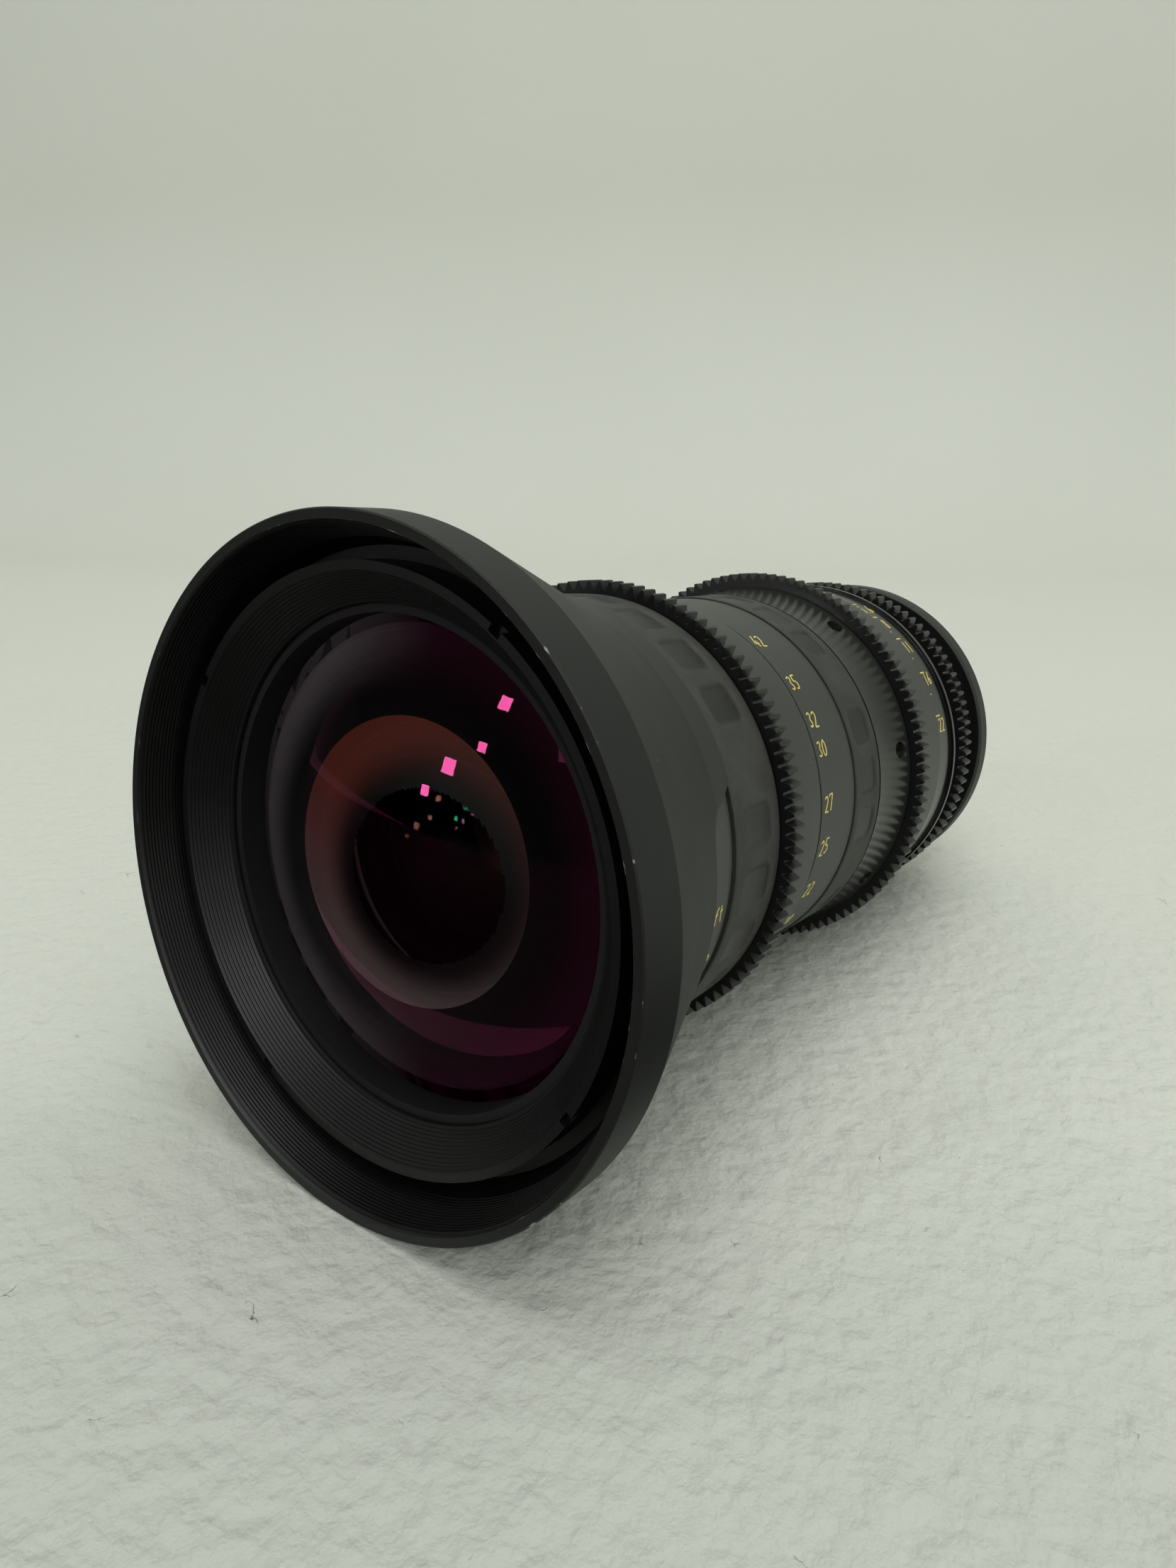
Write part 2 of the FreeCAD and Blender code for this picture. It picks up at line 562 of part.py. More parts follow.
def make_baffle_ring():
    """The notched ring round the front element, with a ribbed cone inside."""
    corners = [("lipRadius", "lipFront"), ("lipRadius", "recessDepth"), ("baffleRadius", "recessDepth")]
    radii = ["baffleRadius"] + ["ridgeRadius%d" % step for step in range(1, RIDGES)] + ["lipInnerRadius"]
    stations = ["ridgeStation%d" % step for step in range(1, RIDGES)] + ["lipFront"]
    for step, station in enumerate(stations):
        corners.append((radii[step], station))
        if step < RIDGES - 1:
            corners.append((radii[step + 1], station))
    body = turned_ring("baffle_ring", corners)
    sketch = new_sketch(body, "Notch", "XZ_Plane", turn="-notchTurn", lift=("-notchFloor", "0"))
    draw_outline(sketch, [
        ("notchInner", "notchLow"), ("notchOuter", "notchLow"), ("notchOuter", "notchHalf"), ("notchInner", "notchHalf"),
    ])
    notch = cut_through(body, sketch, "NotchCut", True)
    repeat_round(body, notch, "Notches", "notchCount")
    return body


def make_main_tube():
    """The fixed tube that carries every ring, with the slot of the iris key."""
    body = turned_ring("main_tube", [
        ("tubeBore", "webRear"), ("tubeFlangeRadius", "webRear"), ("tubeFlangeRadius", "tubeFlangeRear"),
        ("tubeOuter", "tubeFlangeRear"), ("tubeOuter", "neckFront"), ("tubeBore", "neckFront"),
    ])
    turn_profile(body, "KeySlot", [
        ("slotInner", "slotFront"), ("slotOuter", "slotFront"), ("slotOuter", "slotRear"), ("slotInner", "slotRear"),
    ], kind="PartDesign::Groove", angle="slotAngle", turn="slotTurn")
    return body


def make_lens_mount():
    """The camera mount: bayonet tabs, register and tail tube."""
    body = turned_ring("lens_mount", [
        ("tailBore", "rearEnd"), ("mountNeckRadius", "rearEnd"), ("mountNeckRadius", "tabFront"),
        ("mountRadius", "tabFront"), ("mountRadius", "seatStation"), ("registerRadius", "seatStation"),
        ("registerRadius", "registerEnd"), ("tailRadius", "registerEnd"), ("tailRadius", "tailEnd"),
        ("tailBore", "tailEnd"),
    ])
    sketch = new_sketch(body, "TabGap", "XZ_Plane")
    draw_outline(sketch, [
        ("mountGapFloor", "gapLow"), ("gapCeiling", "gapLow"), ("gapCeiling", "gapHalf"), ("mountGapFloor", "gapHalf"),
    ])
    gap = cut_through(body, sketch, "TabGapCut", False)
    repeat_round(body, gap, "TabGaps", "mountTabs")
    sketch = new_sketch(body, "KeyNotch", "XZ_Plane", turn="-180 / mountTabs")
    draw_outline(sketch, [
        ("keyNotchFloor", "keyNotchLow"), ("gapCeiling", "keyNotchLow"),
        ("gapCeiling", "keyNotchHalf"), ("keyNotchFloor", "keyNotchHalf"),
    ])
    cut_through(body, sketch, "KeyNotchCut", False)
    return body


def make_iris_plate():
    """The fixed plate behind the blades, with a hole for each stud."""
    body = turned_ring("iris_plate", [
        ("plateBore", "plateFront"), ("spigotRadius", "plateFront"), ("spigotRadius", "plateRear"), ("plateBore", "plateRear"),
    ])
    sketch = new_sketch(body, "StudHole", "XZ_Plane")
    driven_circle(sketch, "pivotCircle", None, "studHole")
    hole = cut_through(body, sketch, "StudHoleCut", False)
    repeat_round(body, hole, "StudHoles", "bladeCount")
    return body


def driven_circle(sketch, across, along, radius):
    circle = Part.Circle(at(across, along), FreeCAD.Vector(0, 0, 1), size(radius))
    geo = sketch.addGeometry(circle, False)
    pin_point(sketch, geo, 3, across, along)
    index = sketch.addConstraint(Sketcher.Constraint("Radius", geo, size(radius)))
    bind(sketch, "Constraints[%d]" % index, radius)


def pad_sketch(body, sketch, name, length, reverse):
    pad = body.newObject("PartDesign::Pad", name)
    pad.Profile = sketch
    pad.Reversed = reverse
    bind(pad, "Length", length)
    body.Tip = pad
    return pad


def make_blade(number):
    """A curved iris blade with its eye and stud, drawn round the stud and set closed."""
    label = "iris_blade_%d" % number
    body = new_body(label)
    step = "%d * 360 / bladeCount" % (number - 1)
    body.Placement = FreeCAD.Placement(FreeCAD.Vector(), FreeCAD.Rotation(Y_AXIS, 1))
    bind(body, "Placement.Rotation.Angle", "-(%s + bladeTurn) * 1 deg" % step)
    bind(body, "Placement.Base.x", "pivotCircle * cos(%s * 1 deg)" % step)
    bind(body, "Placement.Base.z", "pivotCircle * sin(%s * 1 deg)" % step)
    bind(body, "Placement.Base.y", "plateFront - %d * bladePitch - seatStation" % number)
    sketch = new_sketch(body, label + "Arc", "XZ_Plane")
    centre = at("bladeFar", None)
    reach = math.radians(size("bladeArc"))
    arcs = []
    for radius in ("bladeInner", "bladeOuter"):
        circle = Part.Circle(centre, FreeCAD.Vector(0, 0, 1), size(radius))
        geo = sketch.addGeometry(Part.ArcOfCircle(circle, 0, reach), False)
        index = sketch.addConstraint(Sketcher.Constraint("Radius", geo, size(radius)))
        bind(sketch, "Constraints[%d]" % index, radius)
        pin_point(sketch, geo, 3, "bladeFar", None)
        arcs.append(geo)
    inner, outer = arcs
    sketch.addConstraint(Sketcher.Constraint("PointOnObject", inner, 1, -1))
    sketch.addConstraint(Sketcher.Constraint("PointOnObject", outer, 1, -1))
    join_points(sketch, inner, 1, outer, 1)
    far_end = join_points(sketch, inner, 2, outer, 2)
    sketch.addConstraint(Sketcher.Constraint("PointOnObject", inner, 3, far_end))
    index = sketch.addConstraint(Sketcher.Constraint("Angle", outer, reach))
    bind(sketch, "Constraints[%d]" % index, "bladeArc * 1 deg")
    pad_sketch(body, sketch, label + "Sheet", "bladeSheet", False)
    eye = new_sketch(body, label + "Eye", "XZ_Plane")
    driven_circle(eye, None, None, "bladeEye")
    pad_sketch(body, eye, label + "EyeSheet", "bladeSheet", False)
    stud = new_sketch(body, label + "Stud", "XZ_Plane")
    driven_circle(stud, None, None, "studRadius")
    pad_sketch(body, stud, label + "StudPin", "%d * bladePitch + studLength" % number, True)
    return body


def make_iris_key():
    """The key that joins the iris ring to the drive ring through the slot."""
    key = doc.addObject("Part::Box", "iris_key")
    key.Label = "iris_key"
    bind(key, "Length", "keyWidth")
    bind(key, "Width", "driveWall")
    bind(key, "Height", "keyTop - keyFoot")
    bind(key, "Placement.Base.x", "-keyWidth / 2")
    bind(key, "Placement.Base.y", "driveFront - seatStation")
    bind(key, "Placement.Base.z", "keyFoot")
    return key


fill_sheet()

parts = [
    turned_ring("front_rim", [
        ("rimInner", None), ("frontRadius", None), ("frontRadius", "rimLength"), ("rimRootInner", "rimLength"),
    ]),
    make_front_barrel(),
    make_baffle_ring(),
    glass_cell("front_cell", "frontCellRadius", "frontGlass", "recessDepth", "webFront", "frontGlassRear"),
    element("front_element", "frontGlass", ("frontGlassCurve", "frontGlassRadius", False),
            ("frontGlassHollow", "frontGlassClear", True)),
    glass_cell("second_cell", "fixedInTube", "secondGlass", "webRear", "secondCellRear", "secondGlassRear"),
    element("second_element", "secondGlass", ("secondGlassCurve", "secondGlassRadius", False),
            ("secondGlassHollow", "secondGlassClear", True)),
    make_main_tube(),
    turned_ring("centre_ring", [
        ("fixedSeat", "centreFront"), ("centreRadius", "centreFront"), ("centreRadius", "centreShoulder"),
        ("centreEndRadius", "centreRear"), ("fixedSeat", "centreRear"),
    ]),
    turned_ring("mid_ring", [
        ("fixedSeat", "midStart"), ("midFront", "midStart"), ("midRear", "midEnd"), ("fixedSeat", "midEnd"),
    ]),
    turned_ring("rear_barrel", [
        ("rearBore", "plateRear"), ("spigotRadius", "plateRear"), ("spigotRadius", "neckFront"),
        ("neckRadius", "neckFront"), ("neckRadius", "rearFront"), ("rearFaceRadius", "rearFront"),
        ("rearRadius", "rearBevelFront"), ("rearRadius", "rearBevelRear"), ("rearFaceRadius", "rearEnd"),
        ("rearBore", "rearEnd"),
    ]),
    make_lens_mount(),
    glass_cell("rear_cell", "rearCellRadius", "rearGlass", "rearCellFront", "rearCellRear", "rearGlassRear"),
    element("rear_element", "rearGlass", ("rearGlassCurve", "rearGlassRadius", False),
            ("rearGlassCurve", "rearGlassThroat", False)),
    make_iris_plate(),
    turned_ring("focus_hub", [
        ("runSeat", "scaleFront"), ("scaleFrontRadius", "scaleFront"), ("scaleMidRadius", "coneEnd"),
        ("scaleEndRadius", "bandEnd"), ("gripSeat", "bandEnd"), ("gripSeat", "focusGearRear"),
        ("runSeat", "focusGearRear"),
    ]),
    grip_ring("focus_grip", [
        ("gripBore", "gripFront"), ("focusGripFront", "gripFront"), ("focusGripRear", "gripRear"), ("gripBore", "gripRear"),
    ], "focusPadFloor", "focusPadFront", "focusPadRear"),
    gear_ring("focus_gear", "focusGearFront", "focusGearRear", "gripBore", "focusRoot", "focusTip", "focusCut", "focusTeeth"),
    glass_cell("focus_cell", "slideInTube", "focusGlass", "focusCellFront", "focusCellRear", "focusGlassRear"),
    element("focus_element", "focusGlass", ("focusGlassCurve", "focusGlassRadius", False),
            ("focusGlassCurve", "focusGlassThroat", False)),
    turned_ring("zoom_hub", [
        ("runSeat", "zoomFront"), ("scaleBandRadius", "zoomFront"), ("scaleBandRadius", "scaleBandRear"),
        ("zoomSeat", "scaleBandRear"), ("zoomSeat", "zoomGearRear"), ("runSeat", "zoomGearRear"),
    ]),
    grip_ring("zoom_grip", [
        ("zoomBore", "zoomGripFront"), ("zoomGripRadius", "zoomGripFront"),
        ("zoomGripRadius", "zoomGripRear"), ("zoomBore", "zoomGripRear"),
    ], "zoomPadFloor", "zoomPadFront", "zoomPadRear"),
    turned_ring("flared_band", [
        ("zoomBore", "flareStart"), ("flareFront", "flareStart"), ("flareRear", "flareEnd"), ("zoomBore", "flareEnd"),
    ]),
    gear_ring("zoom_gear", "zoomGearFront", "zoomGearRear", "zoomBore", "zoomRoot", "zoomTip", "zoomCut", "zoomTeeth"),
    glass_cell("variator_cell", "slideInTube", "variatorGlass", "variatorCellFront", "variatorCellRear", "variatorGlassRear"),
    element("variator_element", "variatorGlass", ("variatorGlassCurve", "variatorGlassClear", True),
            ("variatorGlassCurve", "variatorGlassClear", True)),
    glass_cell("compensator_cell", "slideInTube", "compensatorGlass",
               "compensatorCellFront", "compensatorCellRear", "compensatorGlassRear"),
    element("compensator_element", "compensatorGlass", ("compensatorGlassCurve", "compensatorGlassRadius", False),
            ("compensatorGlassCurve", "compensatorGlassThroat", False)),
    turned_ring("iris_hub", [
        ("runSeat", "irisFront"), ("irisBandRadius", "irisFront"), ("irisBandRadius", "irisBandRear"),
        ("irisLipRadius", "irisBandRear"), ("irisLipRadius", "irisLipRear"), ("irisSeat", "irisLipRear"),
        ("irisSeat", "irisGearRear"), ("runSeat", "irisGearRear"),
    ]),
    gear_ring("iris_gear", "irisGearFront", "irisGearRear", "irisBore", "irisRoot", "irisTip", "irisCut", "irisTeeth"),
    turned_ring("iris_drive_ring", [
        ("driveBore", "driveFront"), ("driveRadius", "driveFront"), ("driveRadius", "driveRear"), ("driveBore", "driveRear"),
    ]),
    make_iris_key(),
]
for number in range(1, BLADES + 1):
    parts.append(make_blade(number))

doc.recompute()
for item in doc.Objects:
    if "Invalid" in item.State or "Error" in item.State:
        raise RuntimeError("%s did not build: %s" % (item.Name, item.State))
for piece in parts:
    shape = piece.Shape
    if shape.isNull() or not shape.isValid() or not shape.Solids:
        raise RuntimeError("%s has no sound solid" % piece.Label)

os.makedirs("parts", exist_ok=True)
for piece in parts:
    piece.Shape.exportStep("parts/%s.step" % piece.Label)
    print("%-20s %12.1f mm3" % (piece.Label, piece.Shape.Volume))
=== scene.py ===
import json
import math
from functools import partial

import bmesh
import bpy
from mathutils import Matrix, Vector


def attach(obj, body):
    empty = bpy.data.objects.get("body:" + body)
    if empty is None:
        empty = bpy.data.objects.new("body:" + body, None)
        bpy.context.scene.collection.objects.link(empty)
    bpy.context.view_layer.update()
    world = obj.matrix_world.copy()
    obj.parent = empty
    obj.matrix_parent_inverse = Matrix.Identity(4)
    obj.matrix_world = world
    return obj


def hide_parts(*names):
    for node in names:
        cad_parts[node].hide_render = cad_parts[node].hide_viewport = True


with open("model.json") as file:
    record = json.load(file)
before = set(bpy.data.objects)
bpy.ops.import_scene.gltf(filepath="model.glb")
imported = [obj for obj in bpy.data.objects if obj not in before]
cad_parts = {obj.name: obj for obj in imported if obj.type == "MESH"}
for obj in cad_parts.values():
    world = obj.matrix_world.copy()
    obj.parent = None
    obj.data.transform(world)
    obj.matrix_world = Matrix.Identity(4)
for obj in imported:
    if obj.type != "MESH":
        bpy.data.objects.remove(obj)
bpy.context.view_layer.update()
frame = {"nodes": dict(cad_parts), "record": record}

# The lens lies along Y with its front towards -Y. Rings are drawn in millimetres, as
# radius and station, where a station is a distance behind the front rim. An angle round
# the lens starts at +X and climbs towards +Z.
shared = {
    "millimetre": 0.001,
    "rimToSeat": 191.0,    # front rim to the seat of the mount, where the origin is
    "ringSteps": 240,      # faces round a ring
    "softEdge": 0.14,      # rounding of a turned edge
    "sharpAngle": 9.0,     # faces that meet at more than this stay crisp
}
millimetre = shared["millimetre"]


def rotation(degrees, axis):
    return Matrix.Rotation(math.radians(degrees), 3, axis)


def move(shape, way, verts=None):
    bmesh.ops.translate(shape, verts=verts or shape.verts, vec=way)


def scale(shape, sizes, verts=None):
    bmesh.ops.scale(shape, verts=verts or shape.verts, vec=sizes)


def rotate(shape, degrees, axis):
    bmesh.ops.rotate(shape, verts=shape.verts, cent=(0, 0, 0), matrix=rotation(degrees, axis))


def newVerts(result):
    return [item for item in result["geom"] if isinstance(item, bmesh.types.BMVert)]


def block(sizes):
    shape = bmesh.new()
    bmesh.ops.create_cube(shape, size=1.0)
    scale(shape, sizes)
    return shape


def rod(radius, length, sides):
    shape = bmesh.new()  # lies along X
    bmesh.ops.create_cone(shape, cap_ends=True, segments=sides, radius1=radius, radius2=radius, depth=length,
                          matrix=Matrix.Rotation(math.radians(90), 4, "Y"))
    return shape


def startProfile(corners, soften=shared["softEdge"], closed=True):
    profile = bmesh.new()
    points = [profile.verts.new((radius, station, 0)) for radius, station in corners]
    for first, second in zip(points, points[1:] + points[:closed]):
        profile.edges.new((first, second))
    if soften:
        rounded = [vert for vert in profile.verts if len(vert.link_edges) == 2]
        bmesh.ops.bevel(profile, geom=rounded, offset=soften, segments=2,
                        profile=0.5, affect="VERTICES", clamp_overlap=True, material=-1)
    return profile


def turnAbout(profile, fromAngle=0.0, sweep=360.0, steps=shared["ringSteps"]):
    full = sweep >= 360
    rotate(profile, -fromAngle, "Y")
    if not full:  # a face to sweep gives the sector closed ends
        bmesh.ops.contextual_create(profile, geom=profile.edges)
    bmesh.ops.spin(profile, geom=profile.verts[:] + profile.edges[:] + profile.faces[:], cent=(0, 0, 0),
                   axis=(0, 1, 0), angle=math.radians(sweep), steps=steps, use_merge=full)
    bmesh.ops.remove_doubles(profile, verts=profile.verts, dist=0.0004)
    bmesh.ops.recalc_face_normals(profile, faces=profile.faces)
    return profile


def turnedRing(corners, soften=shared["softEdge"]):
    return turnAbout(startProfile(corners, soften))


def ribbed(fromPoint, toPoint, count, depth, crest=0.45):
    # Points of a row of ribs between two places, cut into the wall by a depth along the radius.
    points = []
    for rib in range(count):
        for share, cut in ((0.0, 0.0), (crest, 0.0), (crest + 0.06, depth), (0.94, depth)):
            along = (rib + share) / count
            radius = fromPoint[0] + (toPoint[0] - fromPoint[0]) * along
            station = fromPoint[1] + (toPoint[1] - fromPoint[1]) * along
            points.append((radius + cut, station))
    points.append(toPoint)
    return points


def meshObject(shape, name):
    mesh = bpy.data.meshes.new(name)
    shape.to_mesh(mesh)
    shape.free()
    item = bpy.data.objects.new(name, mesh)
    bpy.context.scene.collection.objects.link(item)
    return item


def evaluatedMesh(item):
    bpy.context.view_layer.update()
    return bpy.data.meshes.new_from_object(item.evaluated_get(bpy.context.evaluated_depsgraph_get()))


def cutAway(shape, cutter):
    # Cuts one mesh out of another and gives the result as a new bmesh.
    item, tool = meshObject(shape, "cutShape"), meshObject(cutter, "cutTool")
    cut = item.modifiers.new("cut", "BOOLEAN")
    cut.operation, cut.solver, cut.object = "DIFFERENCE", "EXACT", tool
    shape = bmesh.new()
    shape.from_mesh(evaluatedMesh(item))
    for used in (item, tool):
        bpy.data.objects.remove(used)
    return shape


def placed(shape, radius, station, angle):
    # Moves a shape drawn round the origin, its top towards +X, out to its place on the lens.
    move(shape, (radius, station, 0))
    rotate(shape, -angle, "Y")
    return shape


def joined(shapes):
    whole = bmesh.new()
    for shape in shapes:
        mesh = bpy.data.meshes.new("joining")
        shape.to_mesh(mesh)
        shape.free()
        whole.from_mesh(mesh)
        bpy.data.meshes.remove(mesh)
    return whole


def finishPiece(shape, name, body, material, nodes=(), sharpAngle=shared["sharpAngle"]):
    move(shape, (0, -shared["rimToSeat"], 0))
    scale(shape, (millimetre,) * 3)
    piece = meshObject(shape, name)
    piece.data.shade_smooth()
    piece.data.set_sharp_from_angle(angle=math.radians(sharpAngle))
    piece.data.materials.append(material)
    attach(piece, body)
    if nodes:
        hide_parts(*nodes)
    return piece


def repaint(piece, material, picks):
    # Gives another material to the faces that a test of radius and station picks.
    piece.data.materials.append(material)
    for face in piece.data.polygons:
        radius = math.hypot(face.center.x, face.center.z) / millimetre
        if picks(radius, face.center.y / millimetre + shared["rimToSeat"]):
            face.material_index = len(piece.data.materials) - 1


def colour(code):
    # An sRGB hex value as a linear colour.
    parts = [int(code[place:place + 2], 16) / 255 for place in (1, 3, 5)]
    return tuple(part / 12.92 if part <= 0.04045 else ((part + 0.055) / 1.055) ** 2.4 for part in parts) + (1.0,)


def linkTo(node, links):
    for socket, source in links.items():
        if isinstance(source, bpy.types.Node):  # a node stands for its first output in use
            source = next(output for output in source.outputs if output.enabled)
        node.id_data.links.new(source, node.inputs[socket])


def addNode(tree, kind, values=None, links=None, **settings):
    node = tree.nodes.new("ShaderNode" + kind)
    for key, value in settings.items():
        setattr(node, key, value)
    for socket, value in (values or {}).items():
        node.inputs[socket].default_value = value
    linkTo(node, links or {})
    return node


def startMaterial(name, **values):
    material = bpy.data.materials.new(name)
    material.use_nodes = True
    tree = material.node_tree
    shader = tree.nodes["Principled BSDF"]
    for socket, value in values.items():
        shader.inputs[socket.replace("_", " ")].default_value = value
    add = partial(addNode, tree)  # adds a node to this material
    return material, add, shader, add("TexCoord").outputs["Object"]


def grainSize(millimetres):
    # The scale of a noise whose grains are about this large.
    return 1.0 / (millimetres * millimetre)


def ringPlace(add, place):
    # Radius from the lens axis and place along it, in millimetres behind the front rim.
    parts = add("SeparateXYZ", links={0: place})
    flat = add("CombineXYZ", links={0: parts.outputs[0], 2: parts.outputs[2]})
    radius = add("VectorMath", links={0: flat}, operation="LENGTH")
    radiusMm = add("Math", {1: 1000.0}, {0: radius}, operation="MULTIPLY")
    station = add("Math", {1: 1000.0, 2: shared["rimToSeat"]}, {0: parts.outputs[1]}, operation="MULTIPLY_ADD")
    return radiusMm, station


def anodised(name, base, deep, rough=0.46, grain=0.35, wear=(), dust=0.0, metal=0.25):
    # Dyed anodised aluminium, bead blasted: a dark satin skin with a very fine grain, faint
    # handling marks, and bright metal where an edge is chipped.
    material, add, shader, place = startMaterial(name, Metallic=metal)
    fine = add("TexNoise", {"Scale": grainSize(grain), "Detail": 2.0}, {"Vector": place})
    broad = add("TexNoise", {"Scale": grainSize(14), "Detail": 4.0, "Roughness": 0.6}, {"Vector": place})
    skin = add("Mix", {"A": colour(deep), "B": colour(base)}, {"Factor": broad}, data_type="RGBA")
    if dust:  # sparse pale specks, about 0.4 mm, drawn a little larger than real ones so that they show
        specks = add("TexVoronoi", {"Scale": grainSize(5.5)}, {"Vector": place})
        few = add("TexNoise", {"Scale": grainSize(9), "Detail": 1.0}, {"Vector": place})
        near = add("MapRange", {"From Min": 0.03, "From Max": 0.045, "To Min": dust, "To Max": 0.0}, {"Value": specks})
        some = add("MapRange", {"From Min": 0.5, "From Max": 0.6}, {"Value": few})
        both = add("Math", links={0: near, 1: some}, operation="MULTIPLY")
        skin = add("Mix", {"B": colour("#A9ABA5")}, {"Factor": both, "A": skin}, data_type="RGBA")
    roughness = add("MapRange", {"To Min": rough - 0.05, "To Max": rough + 0.06}, {"Value": broad})
    if wear:  # each edge is a radius, a station and how far handling has chipped the dye round it
        radius, station = ringPlace(add, place)
        chips = add("TexNoise", {"Scale": grainSize(3.5), "Detail": 3.0, "Roughness": 0.6}, {"Vector": place})
        bare = None
        for edgeRadius, edgeStation, reach in wear:
            offRadius = add("Math", {1: edgeRadius}, {0: radius}, operation="SUBTRACT")
            offStation = add("Math", {1: edgeStation}, {0: station}, operation="SUBTRACT")
            offset = add("CombineXYZ", links={0: offRadius, 1: offStation})
            away = add("VectorMath", links={0: offset}, operation="LENGTH")
            close = add("MapRange", {"From Max": reach, "To Min": 0.3, "To Max": 0.0}, {"Value": away})
            raised = add("Math", links={0: close, 1: chips}, operation="ADD")
            worn = add("MapRange", {"From Min": 0.79, "From Max": 0.85}, {"Value": raised})
            bare = add("Math", links={0: bare, 1: worn}, operation="MAXIMUM") if bare else worn
        skin = add("Mix", {"B": colour("#8E918E")}, {"Factor": bare, "A": skin}, data_type="RGBA")
    bump = add("Bump", {"Strength": 0.12, "Distance": 0.00006}, {"Height": fine})
    linkTo(shader, {"Base Color": skin, "Roughness": roughness, "Normal": bump})
    return material


def mouldedRubber(name):
    # Moulded nitrile rubber: matt and slightly grey with bloom and dust, its pressed-in
    # pads darker and a little shinier.
    material, add, shader, place = startMaterial(name)
    pads = add("Attribute", attribute_name="pad").outputs["Fac"]
    cloud = add("TexNoise", {"Scale": grainSize(6), "Detail": 5.0, "Roughness": 0.65}, {"Vector": place})
    bloom = add("ValToRGB", links={0: cloud})
    padTone = add("ValToRGB", links={0: cloud})
    for ramp, spots, codes in ((bloom, (0.32, 0.68), ("#2A2B27", "#3A3B36")),
                               (padTone, (0.30, 0.72), ("#0F100F", "#181917"))):
        for stop, spot, code in zip(ramp.color_ramp.elements, spots, codes):
            stop.position, stop.color = spot, colour(code)
    skin = add("Mix", links={"Factor": pads, "A": bloom, "B": padTone}, data_type="RGBA")
    roughness = add("MapRange", {"To Min": 0.66, "To Max": 0.42}, {"Value": pads})
    fine = add("TexNoise", {"Scale": grainSize(0.4), "Detail": 3.0}, {"Vector": place})
    bump = add("Bump", {"Strength": 0.25, "Distance": 0.0001}, {"Height": fine})
    linkTo(shader, {"Base Color": skin, "Roughness": roughness, "Normal": bump})
    return material


def machinedSteel(name, base, rough):
    # Turned stainless steel: fine rings left by the tool, which stretch the highlights.
    material, add, shader, place = startMaterial(name, Metallic=1.0)
    radius, station = ringPlace(add, place)
    lathe = add("CombineXYZ", links={0: radius, 1: station})
    rings = add("TexNoise", {"Scale": 9.0, "Detail": 3.0}, {"Vector": lathe})  # 0.1 mm feed
    roughness = add("MapRange", {"To Min": rough - 0.06, "To Max": rough + 0.1}, {"Value": rings})
    shade = add("Mix", {"A": colour(base), "B": colour("#D2D1CC")}, {"Factor": rings}, data_type="RGBA")
    bump = add("Bump", {"Strength": 0.2, "Distance": 0.00004}, {"Height": rings})
    linkTo(shader, {"Base Color": shade, "Roughness": roughness, "Normal": bump})
    return material


def paintFill(name, base, deep):
    # Enamel run into engraved marks: slightly uneven, with a low gloss.
    material, add, shader, place = startMaterial(name, Roughness=0.45)
    patchy = add("TexNoise", {"Scale": grainSize(0.6), "Detail": 2.0}, {"Vector": place})
    tone = add("Mix", {"A": colour(deep), "B": colour(base)}, {"Factor": patchy}, data_type="RGBA")
    linkTo(shader, {"Base Color": tone})
    return material


def coatedGlass(name, tint, facing, grazing, ior, gain=1.0, shift=(0.35, 0.75)):
    # Polished optical glass behind a thin-film coating: clear, with a weak mirror image whose
    # colour shifts from face on to a low angle.
    material, add, shader, place = startMaterial(name)
    nodes = material.node_tree.nodes
    for unused in (shader, place.node):
        nodes.remove(unused)
    clear = add("BsdfRefraction", {"Color": colour(tint), "Roughness": 0.0, "IOR": ior})
    lean = add("LayerWeight", {"Blend": 0.5})
    film = add("ValToRGB", links={0: lean.outputs["Facing"]})
    for stop, spot, code in zip(film.color_ramp.elements, shift, (facing, grazing)):
        stop.position, stop.color = spot, colour(code)
    mirror = add("BsdfAnisotropic", {"Roughness": 0.0}, {"Color": film})
    share = add("Fresnel", {"IOR": ior})
    lifted = add("Math", {1: gain}, {0: share}, operation="MULTIPLY", use_clamp=True)
    whole = add("MixShader", links={0: lifted, 1: clear, 2: mirror})
    linkTo(nodes["Material Output"], {"Surface": whole})
    return material


def paintedReflectionFlange(name, tones, axis, span, inner, outer, paintedGlow, aside=0.0):
    # The ground and painted flange of a glass, with a painted reflection on it: a satin tone that
    # drifts to a second one by its place across the glass, dark towards its bore, with faint painted
    # rings every 4.6 mm. Its slight glow is painted light, standing for the stray light that the film
    # throws back. The bore can lie aside, which leaves a painted crescent.
    material, add, shader, place = startMaterial(name, Roughness=0.5, Emission_Strength=paintedGlow)
    parts = add("SeparateXYZ", links={0: place})
    moved = add("VectorMath", {1: (-aside * millimetre, 0, 0)}, {0: place})
    radius = ringPlace(add, moved)[0]
    side = add("MapRange", {"From Min": span[0], "From Max": span[1]}, {"Value": parts.outputs[axis]},
               interpolation_type="SMOOTHSTEP")
    tone = add("Mix", {"A": colour(tones[0]), "B": colour(tones[1])}, {"Factor": side}, data_type="RGBA")
    depth = add("MapRange", {"From Min": inner, "From Max": outer}, {"Value": radius}, interpolation_type="SMOOTHSTEP")
    turned = add("Math", {1: 2.3}, {0: radius}, operation="PINGPONG")  # a step every 4.6 mm
    step = add("MapRange", {"From Max": 0.14, "To Min": 1.35, "To Max": 1.0}, {"Value": turned})
    level = add("Math", links={0: depth, 1: step}, operation="MULTIPLY")
    shade = add("VectorMath", links={0: tone, "Scale": level}, operation="SCALE")
    # painted reflection and painted glow: the same shade is both the base colour and the emission
    linkTo(shader, {"Base Color": shade, "Emission Color": shade})
    return material


